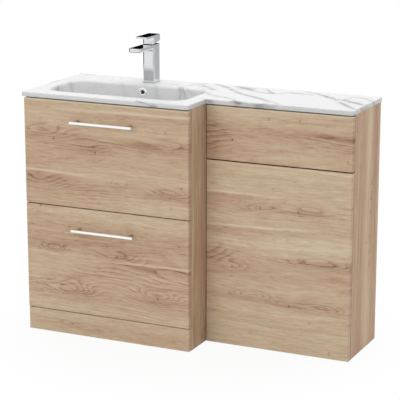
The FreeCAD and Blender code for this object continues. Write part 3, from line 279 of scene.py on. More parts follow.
def make_sapwood():
    """A pale line that starts sharp and dies away, with a darker stave under it."""
    tree, given, result = shader_group(
        "sapwood",
        {"Vector": VECTOR, "Start": VECTOR, "Slope": VALUE, "Length": VALUE, "Way": VALUE},
        {"Tone": VALUE})
    away = vector_calc(tree, "SUBTRACT", given["Vector"], given["Start"])
    axes = axes_of(tree, away)
    along = times(tree, axes[0], given["Way"])
    sway = times(tree, centred(tree, noise(tree, away, SAP_SWAY_NOISE)), SAP_SWAY)
    rise = calc(tree, "SUBTRACT", axes[1], times(tree, axes[0], given["Slope"]))
    rise = calc(tree, "ADD", rise, sway)
    thins = times(tree, given["Length"], SAP_THINS_FROM)
    there = times(tree, fade(tree, along, -SAP_START, SAP_START), fade(tree, along, given["Length"], thins))
    pale = times(tree, bell(tree, rise, SAP_WIDTH), SAP_PALE)
    under = times(tree, fade(tree, rise, *UNDER_TOP), fade(tree, rise, *UNDER_FOOT))
    tone = calc(tree, "SUBTRACT", pale, times(tree, under, UNDER_DARK))
    feed(tree, result["Tone"], times(tree, tone, there))
    return tree


sapwood = make_sapwood()

# %% Staves
STAVE_SHIFT = 3.7
BEND, BEND_NOISE = 0.07, (1.6, 5.0, 1.0)


def stave_grain(tree, place, stave):
    """A place whose staves are shifted along, the place across the grain, and a number for each stave."""
    axes = axes_of(tree, place)
    bend = times(tree, centred(tree, noise(tree, place, BEND_NOISE)), BEND)
    across = calc(tree, "ADD", axes[1], bend)
    cells = tree.nodes.new("ShaderNodeTexVoronoi")
    cells.voronoi_dimensions = "1D"
    cells.inputs["Scale"].default_value = 1.0
    feed(tree, cells.inputs["W"], calc(tree, "DIVIDE", across, stave))
    chance = tree.nodes.new("ShaderNodeSeparateColor")
    feed(tree, chance.inputs[0], cells.outputs["Color"])
    along = weigh(tree, chance.outputs[0], STAVE_SHIFT, axes[0])
    return vector_of(tree, along, across, axes[2]), across, chance.outputs[1]


print("staves move up to", STAVE_SHIFT, "m along")

# %% Values of the decor
OAK_TONES = [(0.0, (108, 79, 57)), (0.25, (166, 132, 106)), (0.5, (191, 161, 134)), (0.72, (204, 181, 152)),
             (1.0, (217, 202, 175))]
PLAIN_TONE = 0.60
LINE_DARK, LINE_POWER = -0.32, 2.4
LINES_ACROSS, LINE_UNREST = 5.0, 0.6
LINES_SHOW, LINES_SHOW_AT_KNOT = (0.48, 0.80), (0.02, 0.14)
PORE_DARK, PORE_SHOWS, PORE_DEPTH = -0.26, (0.60, 0.74), -0.8
OAK_ROUGHNESS, OAK_SWING = 0.38, 0.18
OAK_NOISE = {
    # features in a metre along, across and through the board, then detail and roughness
    "unrest": ((1.5, 8.5, 1.0), 2.5, 0.45), "patches": ((2.2, 7.0, 1.0), 2.0, 0.5),
    "pores": ((42.0, 330.0, 9.0), 2.0, 0.5), "broad": ((0.9, 11.0, 1.0), 2.0, 0.5),
    "streaks": ((3.0, 80.0, 2.0), 3.0, 0.6), "dashes": ((19.0, 130.0, 5.0), 2.0, 0.7),
    "fibre": ((16.0, 520.0, 6.0), 2.0, 0.6),
}
OAK_WEIGHTS = {"broad": 0.50, "streaks": 0.40, "dashes": 0.54, "fibre": 0.24, "stave": 0.15}
print("noises of the decor", ", ".join(OAK_NOISE))

# %% Layers of the decor
def make_oak():
    """Colour, gloss and relief of the decor; x runs along the grain."""
    tree, given, result = shader_group(
        "oak_decor",
        {"Vector": VECTOR, "Offset": VECTOR, "Hills": VALUE, "Marks": VALUE, "Stave": VALUE, "Rings": VALUE,
         "Contrast": VALUE, "Stretch": VECTOR},
        {"Color": COLOUR, "Roughness": VALUE, "Height": VALUE})
    place = vector_calc(tree, "MULTIPLY", given["Vector"], given["Stretch"])
    place = vector_calc(tree, "ADD", place, given["Offset"])
    grain, across, stave_tone = stave_grain(tree, place, given["Stave"])
    layers = {name: noise(tree, grain, *kind) for name, kind in OAK_NOISE.items()}
    layers["stave"] = stave_tone

    height = weigh(tree, layers["unrest"], LINE_UNREST, given["Hills"])
    height = weigh(tree, across, LINES_ACROSS, height)
    line = calc(tree, "FRACT", times(tree, height, given["Rings"]))
    line = calc(tree, "POWER", line, LINE_POWER)
    shows = calc(tree, "MAXIMUM", fade(tree, layers["patches"], *LINES_SHOW),
                 fade(tree, given["Hills"], *LINES_SHOW_AT_KNOT))
    pore = fade(tree, layers["pores"], *PORE_SHOWS)

    tone = weigh(tree, times(tree, line, shows), LINE_DARK, PLAIN_TONE)
    tone = weigh(tree, pore, PORE_DARK, tone)
    for name, weight in OAK_WEIGHTS.items():
        tone = weigh(tree, centred(tree, layers[name]), weight, tone)
    tone = calc(tree, "ADD", tone, given["Marks"])
    tone = weigh(tree, calc(tree, "SUBTRACT", tone, PLAIN_TONE), given["Contrast"], PLAIN_TONE)
    feed(tree, result["Color"], ramp(tree, tone, OAK_TONES))
    feed(tree, result["Roughness"], weigh(tree, layers["fibre"], OAK_SWING, OAK_ROUGHNESS))
    feed(tree, result["Height"], weigh(tree, pore, PORE_DEPTH, layers["fibre"]))
    return tree


oak_decor = make_oak()

# %% [markdown]
# ## Oak boards
# Each board on the real unit is cut from its own part of the decor, with the grain along the run on the fronts and
# upright on the sides. One material could serve them all, but then the staves would run on from board to board, so
# each board gets an offset into the decor, and a Mapping node turns the grain. The fronts that face the room also get
# their own knots, flecks and sapwood lines, placed in metres on the board.

# %% Marks on a board
THROUGH = 1e3
# a board end's patch darkens its lamp-lit end as painted shade
WHOLE_BOARD, END_WIDTH, END_REACH, BOARD_END_SHADE = 3.0, 0.0015, 2.0, -0.22


def add_marks(tree, place, marks, total):
    """Add knots or patches to a total; each is a place and a reach along and across the grain, and a height."""
    for along, across, length, width, height in marks:
        hill = use_group(tree, knot, vector=place, centre=(along, across, 0), reach=(length, width, THROUGH))["Hill"]
        total = weigh(tree, hill, height, total)
    return total


def painted_gap_tone(middle, height, width, tone):
    """A patch along a board's upper edge, beside the gap: painted light where its tone is raised, painted shade where
    lowered.
    """
    return (middle, height, WHOLE_BOARD, width, tone)


def painted_end_shade(end, height):
    """A darker patch down a board's end: painted shade on its lamp-lit end."""
    return (end, height, END_WIDTH, END_REACH, BOARD_END_SHADE)


print("an end's patch is", END_WIDTH, "m wide")

# %% One board
GRAIN = {"along": (-math.pi / 2, 0, 0), "upright": (0, math.pi / 2, 0), "flat": (0, 0, 0)}
KNOT_WANDER = (0.07, 0.035, 0)
FLECK = (0.003, 0.004, -0.45)  # reach along and across the grain, and tone
GRAIN_RELIEF, GRAIN_STRENGTH = 0.0002, 0.35


def oak_finish(name, grain, offset, knots=(), flecks=(), lines=(), patches=(), stave=0.085, rings=15.0,
               contrast=1.08, tone=0.0, stretch=1.0, specular=0.15):
    """One board's cut of the oak decor; a line is its start, slope, length and the way that it runs."""
    finish, tree, shader = new_finish(name)
    place = add(tree, "ShaderNodeMapping", Vector=place_of(tree), Rotation=GRAIN[grain])
    wandering = use_group(tree, wobble, vector=place, offset=offset, amount=KNOT_WANDER)["Place"]
    hills = add_marks(tree, wandering, knots, 0.0)
    marks = add_marks(tree, place, list(patches) + [(*spot, *FLECK) for spot in flecks], tone)
    for along, across, slope, length, way in lines:
        pale = use_group(tree, sapwood, vector=place, start=(along, across, 0), slope=slope, length=length,
                         way=way)["Tone"]
        marks = calc(tree, "ADD", marks, pale)
    decor = use_group(tree, oak_decor, vector=place, offset=offset, hills=hills, marks=marks, stave=stave,
                      rings=rings, contrast=contrast, stretch=(stretch, 1, 1))
    feed(tree, shader["Base Color"], decor["Color"])
    feed(tree, shader["Roughness"], decor["Roughness"])
    shader["Specular IOR Level"].default_value = specular
    bump(tree, shader, decor["Height"], GRAIN_RELIEF, GRAIN_STRENGTH)
    return finish


print("grain", sorted(GRAIN))

# %% Drawer fronts and plinth
# the upper-edge patches are painted light under the slab and painted shade in the gap between the drawers
paint(["top_drawer_front"], oak_finish(
    "oak_top_front", "along", (3.1, 0.42, 0.0), tone=0.02, contrast=0.95,
    knots=[(-0.47, 0.684, 0.1, 0.032, 0.26), (-0.1, 0.672, 0.17, 0.02, 0.2),
           (-0.5, 0.52, 0.11, 0.034, 0.24), (-0.214, 0.538, 0.045, 0.014, 0.22),
           (-0.02, 0.515, 0.1, 0.02, 0.2), (-0.32, 0.65, 0.09, 0.03, 0.16)],
    flecks=[(-0.286, 0.634), (-0.032, 0.723), (0.024, 0.545), (-0.012, 0.4755), (-0.44, 0.668)],
    lines=[(-0.56, 0.5585, -0.012, 0.34, 1.0), (0.06, 0.772, 0.0, 0.62, -1.0)],
    patches=[(-0.46, 0.69, 0.12, 0.028, -0.13), (-0.06, 0.675, 0.15, 0.013, -0.2),
             (-0.29, 0.65, 0.06, 0.03, -0.12), (-0.45, 0.535, 0.1, 0.018, -0.12),
             (-0.02, 0.515, 0.08, 0.014, -0.13), (-0.25, 0.772, 0.45, 0.028, 0.13),
             (-0.2, 0.6, 0.2, 0.02, 0.07), (-0.25, 0.457, 0.45, 0.03, 0.13),
             painted_gap_tone(-0.25, 0.7955, 0.003, 0.45)]))
paint(["bottom_drawer_front"], oak_finish(
    "oak_bottom_front", "along", (7.4, 0.11, 0.3),
    knots=[(-0.458, 0.3, 0.055, 0.016, 0.24), (-0.209, 0.29, 0.08, 0.02, 0.17),
           (-0.4, 0.15, 0.095, 0.034, 0.42), (-0.52, 0.16, 0.06, 0.018, 0.2),
           (-0.07, 0.165, 0.08, 0.024, 0.36), (0.12, 0.225, 0.38, 0.055, 0.36)],
    flecks=[(-0.41, 0.305), (-0.21, 0.292), (-0.062, 0.168), (-0.495, 0.437)],
    lines=[(0.06, 0.2755, 0.005, 0.42, -1.0)],
    patches=[(-0.31, 0.345, 0.12, 0.022, -0.12), (-0.458, 0.3, 0.06, 0.014, -0.1),
             (-0.2, 0.292, 0.06, 0.016, -0.12), (-0.35, 0.155, 0.1, 0.024, -0.13),
             (-0.07, 0.163, 0.06, 0.018, -0.16), (-0.22, 0.42, 0.45, 0.03, 0.24),
             (-0.45, 0.235, 0.12, 0.02, 0.08), (-0.25, 0.095, 0.45, 0.03, 0.2),
             (-0.25, 0.318, 0.45, 0.022, -0.08), (-0.12, 0.24, 0.16, 0.03, 0.12),
             (-0.12, 0.155, 0.16, 0.03, 0.05), painted_gap_tone(-0.25, 0.4418, 0.0012, -0.28)]))
paint(["vanity_plinth"], oak_finish(
    "oak_plinth", "along", (1.9, 2.3, 0.6), knots=[(-0.33, 0.03, 0.10, 0.012, 0.2)], stave=0.06, tone=0.11))

# %% Fronts of the toilet unit
# the tones are raised as painted light against the vanity's shade; edge patches are painted light and painted shade
paint(["access_panel"], oak_finish(
    "oak_access_panel", "along", (5.2, 1.35, 0.9), tone=0.06,
    knots=[(0.6, 0.712, 0.3, 0.026, 0.18), (0.02, 0.695, 0.13, 0.06, 0.2)],
    flecks=[(0.268, 0.767), (0.373, 0.769), (0.535, 0.653), (0.142, 0.69)],
    patches=[(0.4, 0.719, 0.22, 0.013, -0.2), (0.32, 0.77, 0.3, 0.02, 0.16),
             (0.07, 0.7, 0.06, 0.05, -0.12), (0.45, 0.75, 0.16, 0.01, 0.12),
             (0.36, 0.65, 0.16, 0.014, 0.09), painted_end_shade(0.5505, 0.71),
             painted_gap_tone(0.3, 0.7955, 0.003, 0.45)]))
paint(["wc_lower_panel"], oak_finish(
    "oak_toilet_panel", "along", (9.6, 0.77, 1.2), tone=0.075,
    knots=[(0.24, 0.477, 0.07, 0.016, 0.24), (0.4, 0.48, 0.1, 0.022, 0.15),
           (0.04, 0.3, 0.095, 0.045, 0.3), (0.45, 0.309, 0.13, 0.022, 0.2),
           (0.223, 0.178, 0.07, 0.018, 0.28), (0.343, 0.16, 0.06, 0.016, 0.26),
           (0.467, 0.168, 0.07, 0.018, 0.24), (0.16, 0.268, 0.06, 0.014, 0.15)],
    flecks=[(0.2405, 0.476), (0.372, 0.477), (0.144, 0.27), (0.416, 0.112), (0.484, 0.0195), (0.345, 0.162)],
    lines=[(0.045, 0.5165, 0.008, 0.36, 1.0), (0.045, 0.405, 0.03, 0.55, 1.0)],
    patches=[(0.45, 0.31, 0.12, 0.012, -0.16), (0.4, 0.48, 0.08, 0.016, -0.08),
             (0.34, 0.166, 0.15, 0.02, -0.08), (0.32, 0.11, 0.35, 0.03, 0.09),
             (0.32, 0.218, 0.35, 0.022, 0.1), painted_end_shade(0.5505, 0.31),
             (0.3, 0.468, 0.35, 0.028, -0.08), (0.32, 0.376, 0.4, 0.024, 0.17),
             (0.13, 0.3, 0.12, 0.03, -0.06), painted_gap_tone(0.3, 0.6196, 0.0018, -0.85)]))

# %% Sides, rails and base
UPRIGHT_STRETCH = 0.4
paint(["vanity_right_side"], oak_finish(
    "oak_vanity_side", "upright", (2.2, 4.4, 0.0), stave=0.05, rings=12.0, contrast=1.3, stretch=UPRIGHT_STRETCH,
    specular=0.35))
# the lowered tone is painted shade on this lit side; the first patch is a joint line deepened as painted shadow
paint(["wc_right_side"], oak_finish(
    "oak_toilet_side", "upright", (6.3, 5.8, 0.0), stave=0.04, rings=12.0, contrast=1.0, tone=-0.06,
    stretch=UPRIGHT_STRETCH, specular=0.10,
    knots=[(0.42, 0.13, 0.16, 0.02, 0.35)], flecks=[(0.36, 0.1), (0.52, 0.14)],
    patches=[(0.45, -0.029, 2.0, 0.0025, -0.55), (0.45, 0.03, 2.0, 0.05, -0.11),
             (0.45, 0.115, 2.0, 0.024, 0.13), (0.45, 0.168, 2.0, 0.014, -0.05)]))
paint(["vanity_left_side", "wc_left_side"], oak_finish("oak_upright", "upright", (4.7, 7.1, 0.0), stave=0.06))
paint([name for name in nodes if name.endswith("_rail")],
      oak_finish("oak_along", "along", (8.8, 6.2, 0.0), stave=0.07))
paint(["vanity_base"], oak_finish("oak_flat", "flat", (0.9, 9.3, 0.0), stave=0.08))

# %% [markdown]
# ## Marble-effect top
# The top is one casting with a printed marble face under a clear coat. Its veins are not even: a few strong ones run
# across the toilet unit's deck, and faint ones touch the rim and the bowl. Noise alone could draw veins, but not at
# chosen places, so each vein is a line of straight runs: its grey is a bell curve of the distance from that line,
# where noise bends the line and breaks its strength.

# %% Groups of the marble
CORE_SHARE, CORE_GREY, BODY_GREY = 0.3, 0.7, 0.5


def make_vein_run():
    """How far a point is from one straight run of a vein."""
    tree, given, result = shader_group(
        "vein_run", {"Vector": VECTOR, "Start": VECTOR, "Way": VECTOR, "Length": VALUE}, {"Away": VALUE})
    away = vector_calc(tree, "SUBTRACT", given["Vector"], given["Start"])
    along = vector_calc(tree, "DOT_PRODUCT", away, given["Way"])
    along = calc(tree, "MAXIMUM", calc(tree, "MINIMUM", along, given["Length"]), 0.0)
    nearest = add(tree, "ShaderNodeVectorMath", {"operation": "SCALE"}, Vector=given["Way"], Scale=along)
    rest = vector_calc(tree, "SUBTRACT", away, nearest)
    feed(tree, result["Away"], vector_calc(tree, "LENGTH", rest))
    return tree


def make_vein_tone():
    """A vein's grey by the distance from it: a soft body with a fine core."""
    tree, given, result = shader_group("vein_tone", {"Away": VALUE, "Width": VALUE}, {"Mask": VALUE})
    body = times(tree, bell(tree, given["Away"], given["Width"]), BODY_GREY)
    core = bell(tree, given["Away"], times(tree, given["Width"], CORE_SHARE))
    feed(tree, result["Mask"], weigh(tree, core, CORE_GREY, body))
    return tree


vein_run, vein_tone = make_vein_run(), make_vein_tone()

# %% Places of the veins
VEINS = [
    # half width, strength, and the points that it runs through; below the deck, y runs on down the walls and edges
    (0.01, 1.2, [(-0.06, 0.217), (-0.031, 0.206), (0.025, 0.17), (0.093, 0.097), (0.17, 0.046), (0.22, 0.012),
                 (0.264, -0.023), (0.3, -0.05)]),
    (0.011, 1.0, [(0.045, 0.197), (0.075, 0.184), (0.1, 0.172), (0.138, 0.133), (0.17, 0.118), (0.196, 0.116),
                  (0.24, 0.136), (0.256, 0.16), (0.289, 0.159), (0.33, 0.15)]),
    (0.009, 1.0, [(0.11, 0.188), (0.143, 0.195), (0.166, 0.176), (0.211, 0.128)]),
    (0.022, 0.8, [(0.08, 0.172), (0.118, 0.148)]),
    (0.011, 1.2, [(0.3, 0.2), (0.325, 0.181), (0.374, 0.155), (0.43, 0.11), (0.476, 0.049), (0.51, 0.01),
                  (0.54, -0.029)]),
    (0.009, 0.9, [(0.44, 0.109), (0.465, 0.112), (0.471, 0.165), (0.504, 0.159), (0.552, 0.125)]),
    (0.011, 0.9, [(0.465, 0.104), (0.505, 0.076), (0.54, 0.052)]),
    (0.017, 0.7, [(0.508, 0.076), (0.548, 0.054)]),
    (0.005, 0.4, [(0.552, 0.002), (0.552, 0.036)]),
    (0.016, 0.9, [(-0.06, 0.16), (-0.019, 0.128), (0.005, 0.109)]),
    (0.012, 0.9, [(-0.01, 0.06), (0.039, 0.013), (0.076, -0.007)]),
    (0.01, 0.9, [(0.1, -0.01), (0.148, -0.036), (0.165, -0.056)]),
    (0.009, 0.6, [(0.149, -0.055), (0.214, -0.06), (0.26, -0.055)]),
    (0.01, 0.5, [(0.05, -0.06), (0.075, -0.066)]),
    (0.012, 0.45, [(0.18, -0.064), (0.29, -0.066)]),
    (0.007, 0.8, [(-0.552, -0.017), (-0.551, 0.02), (-0.546, 0.052)]),
    (0.006, 0.9, [(-0.556, 0.205), (-0.488, 0.194)]),
    (0.006, 0.45, [(-0.503, -0.03), (-0.5, -0.05), (-0.496, -0.066)]),
    (0.005, 0.3, [(-0.503, -0.005), (-0.497, -0.03), (-0.49, -0.06)]),
    (0.007, 0.2, [(-0.5, 0.06), (-0.485, -0.04)]),
    (0.014, 0.22, [(-0.331, 0.1), (-0.32, 0.05)]),
    (0.013, 0.2, [(-0.205, 0.106), (-0.192, 0.06)]),
    (0.009, 0.45, [(-0.112, 0.105), (-0.109, 0.09), (-0.105, 0.071), (-0.107, 0.05)]),
    (0.008, 0.55, [(-0.104, 0.108), (-0.1, 0.093), (-0.09, 0.07), (-0.086, 0.058)]),
    (0.009, 0.4, [(-0.085, 0.1), (-0.081, 0.092), (-0.068, 0.075)]),
    (0.01, 0.3, [(-0.03, 0.11), (-0.02, 0.03)]),
    (0.014, 0.5, [(-0.17, 0.15), (-0.116, 0.132), (-0.095, 0.178), (-0.06, 0.215)]),
    (0.007, 0.75, [(-0.124, -0.185), (-0.106, -0.192), (-0.086, -0.198), (-0.064, -0.202)]),
]
print("veins", len(VEINS), "with", sum(len(points) - 1 for width, strength, points in VEINS), "straight runs")

# %% Edges of the casting
FAR_END, _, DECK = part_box("basin_top")[1]
BOWL = [(-0.25, 0.262), (-0.0145, 0.124)]  # middle and half size along x and y
# the deep grey and the far end's grey are painted shade
# a grey, and the two places in metres between which it sets in
DEEP_SHADE, DEEP = 0.13, (-0.001, -0.012)
EDGE_GREY, EDGE = 0.17, (-0.0005, -0.003)
FAR_END_SHADE, END = 0.18, (FAR_END - 0.002, FAR_END - 0.0008)


def painted_shade_and_edge_grey(tree, axes, below):
    """Greyer in the bowl and on outer edges, most at the far end; the deep and far-end greys are painted shade."""
    grey = times(tree, fade(tree, below, *DEEP), DEEP_SHADE)
    in_bowl = 1.0
    for axis, (middle, reach) in enumerate(BOWL):
        off = calc(tree, "ABSOLUTE", calc(tree, "SUBTRACT", axes[axis], middle))
        in_bowl = times(tree, in_bowl, calc(tree, "LESS_THAN", off, reach))
    edge = times(tree, fade(tree, below, *EDGE), calc(tree, "SUBTRACT", 1.0, in_bowl))
    grey = weigh(tree, edge, EDGE_GREY, grey)
    far_end_shade = times(tree, edge, fade(tree, axes[0], *END))
    return weigh(tree, far_end_shade, FAR_END_SHADE, grey)


print("deck at", round(DECK, 4), "far end at", round(FAR_END, 4))

# %% Veins on the casting
VEIN_WANDER, WANDER_NOISE, APART = (0.04, 0.04, 0.0), ((9.0, 9.0, 9.0), 4.0, 0.6), (3.0, 7.0, 0.0)
VEIN_LEAST, VEIN_BROKEN, BREAKS, BREAK_NOISE = 0.3, 0.85, (0.33, 0.66), ((17.0, 17.0, 17.0), 3.0)


def vein_grey(tree, place):
    """All placed veins, bent and broken by noise."""
    apart = vector_calc(tree, "ADD", place, APART)
    ways = vector_of(tree, *[centred(tree, noise(tree, spot, *WANDER_NOISE)) for spot in (place, apart)])
    wandering = vector_calc(tree, "ADD", place, vector_calc(tree, "MULTIPLY", ways, VEIN_WANDER))
    veins = 0.0
    for width, strength, points in VEINS:
        away = 1.0
        for (x0, y0), (x1, y1) in zip(points, points[1:]):
            way = Vector((x1 - x0, y1 - y0, 0))
            run = use_group(tree, vein_run, vector=wandering, start=(x0, y0, 0), way=way.normalized(),
                            length=way.length)["Away"]
            away = calc(tree, "MINIMUM", away, run)
        mask = use_group(tree, vein_tone, away=away, width=width)["Mask"]
        veins = weigh(tree, mask, strength, veins)
    broken = fade(tree, noise(tree, place, *BREAK_NOISE), *BREAKS)
    return times(tree, veins, weigh(tree, broken, VEIN_BROKEN, VEIN_LEAST))


print("veins wander", VEIN_WANDER[0], "m")

# %% Clouds and hair lines
CLOUD_GREY, CLOUD, CLOUD_NOISE = 0.06, (0.52, 0.8), ((4.0, 4.0, 4.0), 3.0)
HAIR_GREY, HAIR_WIDTH, HAIR_NOISE = 0.10, 0.012, ((3.4, 5.0, 3.4), 4.0, 0.6)
HAIR_SHOWS, HAIR_PATCHES = (0.48, 0.68), (2.6, 2.6, 2.6)
BEHIND_RIM = (-0.16, -0.13)


def faint_grey(tree, axes, place):
    """Soft clouds and hair lines, which keep off the front rim."""
    cloud = fade(tree, noise(tree, place, *CLOUD_NOISE), *CLOUD)
    hair = bell(tree, centred(tree, noise(tree, place, *HAIR_NOISE)), HAIR_WIDTH)
    hair = times(tree, hair, fade(tree, noise(tree, place, HAIR_PATCHES), *HAIR_SHOWS))
    faint = weigh(tree, hair, HAIR_GREY, times(tree, cloud, CLOUD_GREY))
    return times(tree, faint, fade(tree, axes[1], *BEHIND_RIM))


print("faint greys", CLOUD_GREY, HAIR_GREY)

# %% The marble finish
MARBLE_TONES = [(0.0, (229, 229, 229)), (0.35, (205, 205, 206)), (1.0, (150, 150, 152))]
MARBLE_ROUGHNESS, MARBLE_SWING, MARBLE_DRIFT = 0.255, 0.04, (5.0, 5.0, 5.0)
MARBLE_SPECULAR = 0.4


def marble_finish():
    """White casting with grey veins and a polished coat."""
    finish, tree, shader = new_finish("marble_effect")
    axes = axes_of(tree, place_of(tree))
    below = calc(tree, "SUBTRACT", axes[2], DECK)
    place = vector_of(tree, axes[0], calc(tree, "ADD", axes[1], below))
    grey = calc(tree, "ADD", painted_shade_and_edge_grey(tree, axes, below), vein_grey(tree, place))
    grey = calc(tree, "ADD", grey, faint_grey(tree, axes, place))
    gloss = weigh(tree, noise(tree, place, MARBLE_DRIFT), MARBLE_SWING, MARBLE_ROUGHNESS)
    feed(tree, shader["Base Color"], ramp(tree, grey, MARBLE_TONES))
    feed(tree, shader["Roughness"], gloss)
    shader["Specular IOR Level"].default_value = MARBLE_SPECULAR
    return finish


paint(["basin_top"], marble_finish())

# %% [markdown]
# ## Metals, plastics and rubber
# The tap, handles, runners, fittings and seals differ in colour, gloss and the way that their surface varies. Each
# could have a tree of its own, but one group gives them all their fine life: a slow drift, as from handling or
# plating, and a fine speckle, as from moulding. A stretch turns the speckle into the lines of rolled steel.

# %% One made surface
DRIFT_NOISE = ((14.0, 14.0, 14.0), 3.0)
DRIFT_SHARE, SPECKLE_SHARE = 0.6, 0.4
DARK_AT, LIGHT_AT = 0.3, 0.7
SPECKLE_STRENGTH = 0.3


def make_surface():
    """Drift and speckle of a made surface, both about 0.5."""
    tree, given, result = shader_group(
        "surface_life", {"Vector": VECTOR, "Fine": VECTOR}, {"Drift": VALUE, "Speckle": VALUE})
    feed(tree, result["Drift"], noise(tree, given["Vector"], *DRIFT_NOISE))
    feed(tree, result["Speckle"], noise(tree, given["Vector"], given["Fine"]))
    return tree


surface_life = make_surface()


def made_finish(name, dark, light, roughness, metal=0.0, fine=(700.0, 700.0, 700.0), relief=0.00004, swing=0.12,
                specular=0.5):
    """A metal, plastic or rubber: its two tones, its roughness and its relief."""
    finish, tree, shader = new_finish(name)
    life = use_group(tree, surface_life, vector=place_of(tree), fine=fine)
    drift = times(tree, life["Drift"], DRIFT_SHARE)
    mixed = weigh(tree, life["Speckle"], SPECKLE_SHARE, drift)
    feed(tree, shader["Base Color"], ramp(tree, mixed, [(DARK_AT, dark), (LIGHT_AT, light)]))
    feed(tree, shader["Roughness"], weigh(tree, mixed, swing, roughness - swing / 2))
    shader["Metallic"].default_value = metal
    shader["Specular IOR Level"].default_value = specular
    bump(tree, shader, life["Speckle"], relief, SPECKLE_STRENGTH)
    return finish


print("drift counts", DRIFT_SHARE, "and speckle", SPECKLE_SHARE)

# %% Finishes of the slots
PLATED = {"roughness": 0.06, "metal": 1.0, "fine": (90.0, 90.0, 90.0), "swing": 0.04}
FINISHES = {
    "chrome": made_finish("polished_chrome", (218, 219, 220), (226, 227, 228), relief=0.000004, **PLATED),
    "runner_steel": made_finish("zinc_runner", (176, 180, 184), (196, 199, 202), 0.34, 1.0, (900.0, 12.0, 900.0),
                                0.00003),
    "fitting_metal": made_finish("bright_zinc", (186, 187, 187), (206, 206, 205), 0.28, 1.0, (300.0, 300.0, 300.0)),
    "brass": made_finish("machined_brass", (196, 164, 98), (214, 184, 120), 0.30, 1.0, (240.0, 240.0, 1500.0)),
    "white_plastic": made_finish("white_moulding", (222, 222, 218), (234, 234, 231), 0.45),
    "grey_plastic": made_finish("grey_moulding", (158, 160, 162), (172, 174, 176), 0.48),
    "black_rubber": made_finish("seal_rubber", (34, 34, 35), (48, 48, 49), 0.72, specular=0.3),
    "drawer_board": made_finish("drawer_lining", (218, 214, 206), (231, 228, 222), 0.5, fine=(60.0, 420.0, 420.0),
                                relief=0.00006),
}
SLOT_OF = {row["node"]: row["material_slot"] for row in frame["record"]["subparts"]}
for slot, finish in FINISHES.items():
    paint([node for node in SLOT_OF if SLOT_OF[node] == slot], finish)

# %% [markdown]
# Three pieces stand out from their slots. The overflow ring and the handle bars get a paler chrome than the tap,
# as a painted reflection of the bright room in front of them. The handles' posts mirror the oak behind the bars,
# so a mix by depth dulls them, as painted shade and a painted reflection of that oak. The ring nut under the lever
# is painted near black as painted shade, which leaves the dark line that parts the lever from the body.

# %% Ring, handles and ring nut
# the paler chrome of the ring and the bars is a painted reflection
PAINTED_BRIGHT = {"dark": (246, 247, 249), "light": (252, 252, 253), "relief": 0.000005, **PLATED}
BAR_DEPTH, BAR_BLEND = 0.008, 0.001
BAR_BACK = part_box("top_drawer_handle")[0][1] + BAR_DEPTH
# the posts' tone is painted shade and a painted reflection of the oak
POST_SHADE = (188, 180, 167)


def paint_shade_behind(finish, depth, colour):
    """Paint shade: mix a finish's colour towards another one from a depth on."""
    tree = finish.node_tree
    base = tree.nodes["Principled BSDF"].inputs["Base Color"]
    mix = tree.nodes.new("ShaderNodeMix")
    mix.data_type = "RGBA"
    first, second = [socket for socket in mix.inputs if socket.type == "RGBA"]
    result = next(socket for socket in mix.outputs if socket.type == "RGBA")
    behind = fade(tree, axes_of(tree, place_of(tree))[1], depth - BAR_BLEND, depth + BAR_BLEND)
    feed(tree, mix.inputs["Factor"], behind)
    feed(tree, first, base.links[0].from_socket)
    second.default_value = linear(colour)
    feed(tree, base, result)
    return finish


paint(["overflow_ring"], made_finish("chrome_painted_bright", **PAINTED_BRIGHT))
paint(["top_drawer_handle", "bottom_drawer_handle"],
      paint_shade_behind(made_finish("handle_chrome_painted_light", **PAINTED_BRIGHT), BAR_BACK, POST_SHADE))
# the ring nut's near-black colour is painted shade, for the dark line under the lever
paint(["tap_cartridge_nut"],
      made_finish("brass_painted_shade", (40, 38, 36), (58, 55, 52), 0.45, 1.0, (240.0, 240.0, 240.0)))

# %% [markdown]
# ## Fasteners and threads
# Cam fittings, handle screws and the bolts between the two carcasses are driven by a cross recess, which the CAD
# solids leave out. Each could be modelled by hand, but they repeat, so a Geometry Nodes tree makes one of them: it cuts
# the recess out of a turned blank, sets a copy at each place with its face to the open side, and turns the copies into
# one mesh. Each place is a point with a direction, and both come from the solids themselves. The threads of the waste
# and of the tap's stud follow a path instead, so a second tree sweeps a small round along a spiral.

# %% Start and end of a tree
def geometry_tree(name, sizes):
    """A tree with named sizes and a finish; gives the tree, its inputs and its outputs."""
    tree = bpy.data.node_groups.new(name, "GeometryNodeTree")
    sockets = [("Geometry", "INPUT", "NodeSocketGeometry")]
    sockets += [(label, "INPUT", VALUE) for label in sizes]
    sockets += [("Finish", "INPUT", "NodeSocketMaterial"), ("Geometry", "OUTPUT", "NodeSocketGeometry")]
    for label, way, kind in sockets:
        tree.interface.new_socket(name=label, in_out=way, socket_type=kind)
    return tree, tree.nodes.new("NodeGroupInput").outputs, tree.nodes.new("NodeGroupOutput").inputs


def finish_tree(tree, given, result, copies):
    """Turn copies into a plain mesh with its finish."""
    plain = add(tree, "GeometryNodeRealizeInstances", Geometry=copies)
    feed(tree, result[0], add(tree, "GeometryNodeSetMaterial", Geometry=plain, Material=given["Finish"]))
    print("tree", tree.name, "with", len(tree.nodes), "nodes")
    return tree


print("helpers for trees are ready")

# %% Solids in a tree
SHARP_TURN = 0.6  # radians


def lift(tree, mesh, height):
    """Move a mesh up its axis."""
    return add(tree, "GeometryNodeTransform", Geometry=mesh, Translation=vector_of(tree, 0.0, 0.0, height))


def join(tree, operation, first, *others):
    """One solid from several."""
    made = tree.nodes.new("GeometryNodeMeshBoolean")
    made.operation = operation
    if operation == "DIFFERENCE":
        feed(tree, made.inputs["Mesh 1"], first)
    else:
        others = (first, *others)
    for mesh in others:
        feed(tree, made.inputs["Mesh 2"], mesh)
    return made.outputs[0]


